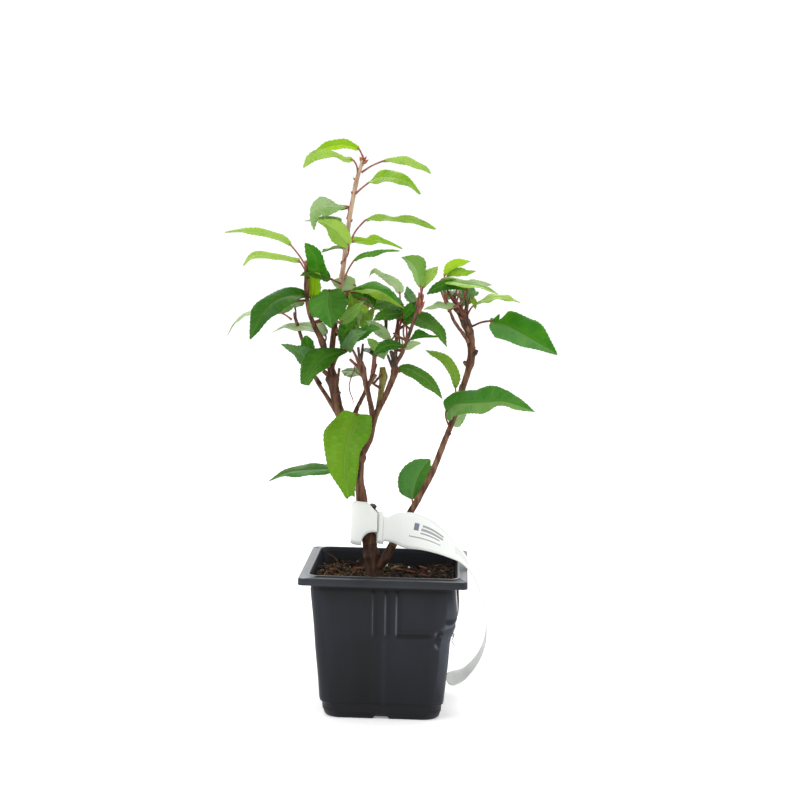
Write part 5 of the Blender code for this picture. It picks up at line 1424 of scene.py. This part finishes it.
def leaf_mesh(shape, leaf, marks, source, wound=None):
    """One blade with both its sides and a keel below; marks are the first skins of its two halves."""
    above, ups, full, share, length, widest = blade_upper(leaf, source, wound)
    count = above.shape[1]
    middle = count // 2
    below = above - ups[:, None] * BLADE_THICKNESS
    ridge = KEEL * np.clip(4 * full, 0.4, 1) * (1.15 - share)
    for column, height in KEEL_SHARES:
        below[:, middle + column] -= ups * (height * ridge)[:, None]
    points = np.concatenate([above, below[:, 1:-1]], axis=1)
    total = points.shape[1]
    patch = blade_patches(above, share, length, widest, source)
    under = [0] + list(range(count, total)) + [count - 1]
    faces, face_marks = [], []
    for r in range(LEAF_ROWS - 1):
        a, b = r * total, (r + 1) * total
        for c in range(count - 1):
            mark = marks[0] if c < middle else marks[1]
            gap = min(abs(c - middle), abs(c + 1 - middle))
            faces.append((a + c, a + c + 1, b + c + 1, b + c))
            skin = RIB_SKIN if gap == 0 else LIGHT_SKIN if gap == 1 else int(patch[r, c])
            face_marks.append(mark + skin)
            faces.append((a + under[c + 1], a + under[c], b + under[c], b + under[c + 1]))
            face_marks.append(mark + BELOW_SKIN)
    ends = list(range(count)) + under[-2:0:-1]
    faces += [tuple(reversed(ends)), tuple((LEAF_ROWS - 1) * total + c for c in ends)]
    shape.add(points, faces, face_marks + [marks[0] + BELOW_SKIN] * 2)


def stalk_mesh(shape, leaf, mark):
    """A leaf stalk from the limb to the blade's base, meeting the midrib's direction."""
    *_, start, spine = leaf
    start, end, ahead = (np.array(p, float) for p in (start, spine[0], spine[1]))
    way = unit(ahead - end)
    middle = (start + end) / 2 + (unit(end - start) - way) * np.linalg.norm(end - start) * 0.12
    rows = [(*start, 0.75), (*(start * 0.8 + middle * 0.2), 0.6), (*middle, 0.48), (*end, 0.5),
            (*(end + way * 1.6), 0.32)]
    tube(shape, smooth_route(rows, STALK_ROWS), mark, STALK_SIDES)


# Where twigs and leaves grow by a seeded rule on the hidden side: group, limb, lowest and highest place,
# tones
GROWTH = (
    ("top", "leader", 240, 297, ("grass", "bright", "mid")),
    ("left", "leader", 200, 238, ("mid", "grass")),
    ("left", "left_shoot", 192, 242, ("grass", "mid")),
    ("left", "left_twig", 174, 213, ("mid", "soft")),
    ("left", "left_bough", 160, 184, ("mid", "deep")),
    ("centre", "centre_bough", 166, 192, ("mid", "grass")),
    ("centre", "middle_bough", 172, 191, ("deep", "mid")),
    ("centre", "cross_twig", 165, 188, ("mid", "grey")),
    ("centre", "centre_shoot", 193, 213, ("grass", "mid")),
    ("centre", "right_shoot", 194, 230, ("bright", "grass")),
    ("right", "right_stem_top", 182, 223, ("mid", "grass", "bright")),
    ("right", "inner_twig", 205, 221, ("mid", "grass")))


def cover_of(pieces):
    """A search tree of the faces of some pieces, in millimetres."""
    points, faces = [], []
    for piece in pieces:
        first = len(points)
        points += [vertex.co / MM for vertex in piece.data.vertices]
        faces += [[first + i for i in face.vertices] for face in piece.data.polygons]
    return BVHTree.FromPolygons(points, faces)


def grown_leaf(start, way, tone, source):
    """One leaf on a short stalk, in the same terms as a row of LEAVES."""
    heading = unit(way + source.uniform(*GROWN_STRAY))
    length = source.uniform(*GROWN_LENGTH)
    base = start + heading * source.uniform(*GROWN_STALK)
    drop = np.array((0, 0, GROWN_DROP))
    spine = tuple(tuple(base + heading * length * s - drop * length * s * s) for s in (0, 0.35, 0.7, 1.0))
    face = (float(source.uniform(*GROWN_LEAN)), float(source.uniform(*GROWN_TURN)))
    width = length * source.uniform(*GROWN_WIDTH)
    return tone, width, GROWN_FOLD, GROWN_ROLL, face, tuple(start), spine


class Growth:
    """Growth on the hidden side; what would show from the front or cut through a leaf isn't kept."""

    def __init__(self, pieces, stalks):
        self.cover = cover_of(pieces)
        self.trees = [self.cover]
        self.stalks = stalks
        self.tones = []
        self.shapes = {}
        self.source = np.random.default_rng(67)
        self.low, self.high = np.array(start_box) / MM

    def hidden(self, points):
        """Whether the leaves in front hide every point from the viewpoint."""
        for point in points:
            way = (Vector(CAMERA_PLACE) - Vector(point)).normalized()
            if self.cover.ray_cast(Vector(point) + way * 0.3, way)[0] is None:
                return False
        return True

    def try_leaf(self, group, start, way, tones):
        """Grows one leaf, and says whether it is kept."""
        tone = tones[int(self.source.integers(len(tones)))]
        leaf = grown_leaf(start, way, tone, self.source)
        spine = np.array(leaf[-1])
        if np.any(spine < self.low) or np.any(spine > self.high) or not self.hidden(spine):
            return False
        if tone not in self.tones:
            self.tones.append(tone)
        blade = Shape()
        leaf_mesh(blade, leaf, [SKINS * self.tones.index(tone)] * 2, self.source)
        points = blade.points[0]
        tree = BVHTree.FromPolygons(points.tolist(), blade.faces)
        if any(tree.overlap(other) for other in self.trees) or not self.hidden(points[::5]):
            return False
        self.trees.append(tree)
        self.shapes.setdefault(group, Shape()).add(points, blade.faces, blade.marks)
        stalk_mesh(self.stalks, leaf, RED_STALK)
        return True

    def try_twig(self, group, start, tones):
        """Grows one twig up to its last leaf that is kept, and says whether it has one."""
        way = unit(self.source.uniform((-1, 0.1, -0.2), (1, 1, 0.5)))
        tip = start + way * self.source.uniform(*GROWN_TWIG)
        bend = (start + tip) / 2 + self.source.uniform(-1.5, 1.5, 3)
        twig = smooth_route([(*start, 0.85), (*bend, 0.65), (*tip, 0.5)], TWIG_ROWS)
        if not self.hidden(twig[6:, :3]):
            return False
        end = 0
        for place in TWIG_LEAVES:
            if any(self.try_leaf(group, twig[place, :3], way, tones) for _ in range(GROWTH_TRIES)):
                end = place
        if end:
            tube(self.stalks, twig[:end + 1], RED_STALK, STALK_SIDES)
        return end > 0


def grow_behind(skins, stalks, pieces):
    growth = Growth(pieces, stalks)
    for group, limb, first, last, tones in GROWTH:
        for height in np.arange(first, last, GROWTH_STEP):
            start = limb_at(limb, height)[:3]
            any(growth.try_twig(group, start, tones) for _ in range(GROWTH_TRIES))
    materials = [skin for tone in growth.tones for skin in skins[tone]]
    for group, shape in growth.shapes.items():
        make_piece(f"leaves_behind_{group}", shape, materials)


def build_leaves():
    skins = leaf_skins()
    source = np.random.default_rng(61)
    stalks = Shape()
    pieces = []
    for mass, leaves in LEAVES.items():
        shape = Shape()
        used = []
        for leaf in leaves:
            # Where the halves differ in tone, one half is painted lighter as lit and the other darker as
            # shaded
            tones = both(leaf[0])
            used += [tone for tone in dict.fromkeys(tones) if tone not in used]
            wound = WOUNDS.get(mass) if leaf is leaves[0] else None
            leaf_mesh(shape, leaf, [SKINS * used.index(tone) for tone in tones], source, wound)
            stalk_mesh(stalks, leaf, RED_STALK if tones[0] in OLD_TONES else 0)
        materials = [skin for tone in used for skin in skins[tone]]
        pieces.append(make_piece(f"leaves_{mass}", shape, materials, [mass]))
    grow_behind(skins, stalks, pieces)
    make_piece("leaf_stalks", stalks, [bark(*row) for row in STALK_BARKS])


# The label: a head that loops round the trunk, and a tail that bends down beside the pot. Rows of the head
# are (x, y), rows of the tail (x, y, z, twist of its width in degrees)
HEAD_ROUTE = ((-5, -9.9), (-8.5, -9.9), (-13, -9.1), (-17.4, -6.6), (-20, -1.6), (-18.4, 3.4), (-13, 5.4),
              (-8, 4.4), (-5.4, 1), (-5.2, -4), (-5, -7.6), (-3.8, -9.1), (-1.6, -9.3))
HEAD_MIDDLE = 102.8
HEAD_HALF = 12.2
HEAD_ROWS = 110
TAIL_HALF = 9.25
TAIL_ROUTE = (
    (-4.2, -9.2, 100.4, 0), (1.5, -9.4, 100.2, 0), (9.0, -9.8, 100.4, 4), (21.8, -8.5, 97.6, 28),
    (32.4, -6.0, 92.0, 56), (41.0, -3.6, 85.6, 76), (48.0, -2.6, 76.5, 88), (52.6, -2.2, 66.0, 90),
    (55.2, -2.0, 55.0, 90), (56.4, -2.0, 44.5, 89), (55.2, -2.0, 35.0, 88), (51.4, -2.2, 26.5, 86),
    (45.4, -3.0, 19.4, 83), (39.4, -4.0, 16.4, 80), (34.8, -4.6, 15.4, 79))
TAIL_ROWS = 360
# The tail's waist and bulge near its start, as (place along it, half width, share of its width)
TAIL_WAIST = ((4.5, 5.0, -0.26), (17.0, 6.0, 0.07))
# How the film's upper edge and its lower corner are cut: where, how far along and how deep
LOW_CORNER = (2.1, 7.0, 7.9)
HIGH_CORNER = (5.6, 6.0)
FILM = (222, 225, 221)
FILM_THICKNESS = 0.45
FILM_COLUMNS = 9
# The tail glows more downwards, a painted light for daylight through the film that lifts the shade on its
# lower end: places of the steps, and what each adds
LIT_STEPS = (0.25, 0.5, 0.75)
LIT_GLOW = 0.09
# Plain bars in place of print: start and end along the tail, lower and upper edge across it, shade
BARS = ((0.014, 0.021, -8.6, 6.4, 2), (0.142, 0.163, 0.8, 4.8, 0), (0.175, 0.275, 3.4, 4.6, 1),
        (0.172, 0.275, 1.2, 2.6, 1), (0.172, 0.26, -0.6, 0.2, 1), (0.128, 0.27, -3.2, -2.6, 1),
        (0.335, 0.41, 3.0, 4.0, 2), (0.335, 0.43, 0.6, 1.4, 2), (0.335, 0.42, -1.8, -1.0, 2))
BAR_FILMS = (("bar_dark", (112, 114, 132)), ("bar_grey", (150, 150, 154)), ("bar_faint", (198, 199, 200)))
BAR_LIFT = 0.25
BAR_THICKNESS = 0.06


def ribbon(shape, route, low, high, mark=0, lift=0.0, thick=FILM_THICKNESS):
    """A thin strip along a route; low and high are its edges across, in millimetres, at each row."""
    tangents = tangents_of(route[:, :3])
    turn = np.radians(route[:, 3])
    across = np.column_stack([np.zeros(len(turn)), np.sin(turn), np.cos(turn)])
    across -= tangents * np.sum(across * tangents, axis=1)[:, None]
    across /= np.linalg.norm(across, axis=1)[:, None]
    out = np.cross(tangents, across)[:, None]
    places = np.linspace(low, high, FILM_COLUMNS).T[:, :, None] * across[:, None] + route[:, None, :3]
    front, back = places + out * (lift + thick / 2), places + out * (lift - thick / 2)
    shape.grid(np.concatenate([front, back[:, ::-1]], axis=1), mark, wrap=True, caps=True)


def label_head():
    """The loop round the trunk: a strip whose corners are cut off, and which narrows into the tail."""
    head = Shape()
    route = smooth_route([(x, y, HEAD_MIDDLE, 0) for x, y in HEAD_ROUTE], HEAD_ROWS)
    run = run_along(route)
    into_tail = step_between(run / run[-1], 0.62, 0.95)
    start, reach, depth = LOW_CORNER
    low = -HEAD_HALF + depth * np.sqrt(1 - np.clip((run - start) / reach, 0, 1) ** 2)
    high = HEAD_HALF - HIGH_CORNER[1] * (1 - np.clip(run / HIGH_CORNER[0], 0, 1))
    low = low * (1 - into_tail) - (TAIL_HALF + 1.6) * into_tail
    high = high * (1 - into_tail) + (TAIL_HALF - 2.4) * into_tail
    ribbon(head, route, low, high - 5.0 * step_between(route[:, 1], -7.0, 1.0))
    return head


def build_label():
    paper = film("label_film", FILM)
    make_piece("label_head", label_head(), [paper], ["label_loop"])
    tail = Shape()
    route = smooth_route(TAIL_ROUTE, TAIL_ROWS)
    share = np.linspace(0, 1, TAIL_ROWS)
    half = TAIL_HALF * (0.25 + 0.75 * rounding((1 - share) / 0.035))
    half *= 1 + humps(share * route_length(route), TAIL_WAIST)
    # Rows further down get films with more painted glow
    marks = (step_between(share, 0.45, 0.9)[:, None] > LIT_STEPS).sum(axis=1)
    ribbon(tail, route, -half, half, np.repeat(marks[:, None], 2 * FILM_COLUMNS, axis=1))
    lit = [film(f"label_film_{k}", FILM, FILM_GLOW + LIT_GLOW * k) for k in (1, 2, 3)]
    make_piece("label_tail", tail, [paper, *lit], ["label_tail_upper", "label_tail_lower"])
    bars = Shape()
    for first, last, low_edge, high_edge, shade in BARS:
        part = route[(share >= first) & (share <= last)]
        low, high = np.full(len(part), low_edge), np.full(len(part), high_edge)
        ribbon(bars, part, low, high, shade, BAR_LIFT, BAR_THICKNESS)
    make_piece("label_bars", bars, [film(*row) for row in BAR_FILMS])


def build_floor():
    mesh = bpy.data.meshes.new("floor")
    reach = FLOOR_REACH
    corners = [(-reach, -reach, 0), (reach, -reach, 0), (reach, reach, 0), (-reach, reach, 0)]
    mesh.from_pydata(corners, [], [(0, 1, 2, 3)])
    white, _, _, surface = new_material("floor_white", (0.93, 0.92, 0.925), roughness=0.9, specular=0.1)
    add_glow(surface, (1, 1, 1), FLOOR_GLOW)
    mesh.materials.append(white)
    new_object("floor", mesh)


def build_world():
    """A white world, a little brighter behind the pot than before it."""
    world = bpy.data.worlds.new("studio")
    bpy.context.scene.world = world
    world.use_nodes = True
    nodes, links = world.node_tree.nodes, world.node_tree.links
    where = nodes.new("ShaderNodeTexCoord")
    split = nodes.new("ShaderNodeSeparateXYZ")
    links.new(where.outputs["Generated"], split.inputs["Vector"])
    strength = range_node(nodes, links, split.outputs["Y"], WORLD_CHANGE, (WORLD_FRONT, WORLD_BACK))
    nodes["Background"].inputs["Color"].default_value = (1, 1, 1, 1)
    links.new(strength, nodes["Background"].inputs["Strength"])


def add_lamp(name, place, size, power):
    light = bpy.data.lights.new(name, "AREA")
    light.shape = "RECTANGLE"
    light.size, light.size_y = size
    light.energy = power
    lamp = new_object(name, light)
    lamp.location = place
    lamp.rotation_mode = "QUATERNION"
    lamp.rotation_quaternion = (Vector(LAMP_AIM) - Vector(place)).to_track_quat("-Z", "Y")


def build_camera():
    pitch, yaw, roll = (math.radians(a) for a in (CAMERA_PITCH, CAMERA_YAW, CAMERA_ROLL))
    ahead = Vector((math.sin(yaw) * math.cos(pitch), math.cos(yaw) * math.cos(pitch), -math.sin(pitch)))
    right = Vector((math.cos(yaw), -math.sin(yaw), 0))
    up = right.cross(ahead)
    across = math.cos(roll) * right + math.sin(roll) * up
    above = -math.sin(roll) * right + math.cos(roll) * up
    data = bpy.data.cameras.new("camera")
    data.lens = CAMERA_LENS
    data.sensor_width = CAMERA_SENSOR
    data.clip_start = CAMERA_NEAR
    camera = new_object("camera", data)
    turn = Matrix((across, above, -ahead)).transposed().to_4x4()
    camera.matrix_world = Matrix.Translation(Vector(CAMERA_PLACE) * MM) @ turn
    bpy.context.scene.camera = camera


build_pot()
build_soil()
build_litter()
build_stems()
build_leaves()
build_label()
build_floor()
build_world()
for lamp in LAMPS:
    add_lamp(*lamp)
build_camera()

bpy.context.scene.view_settings.view_transform = "Standard"
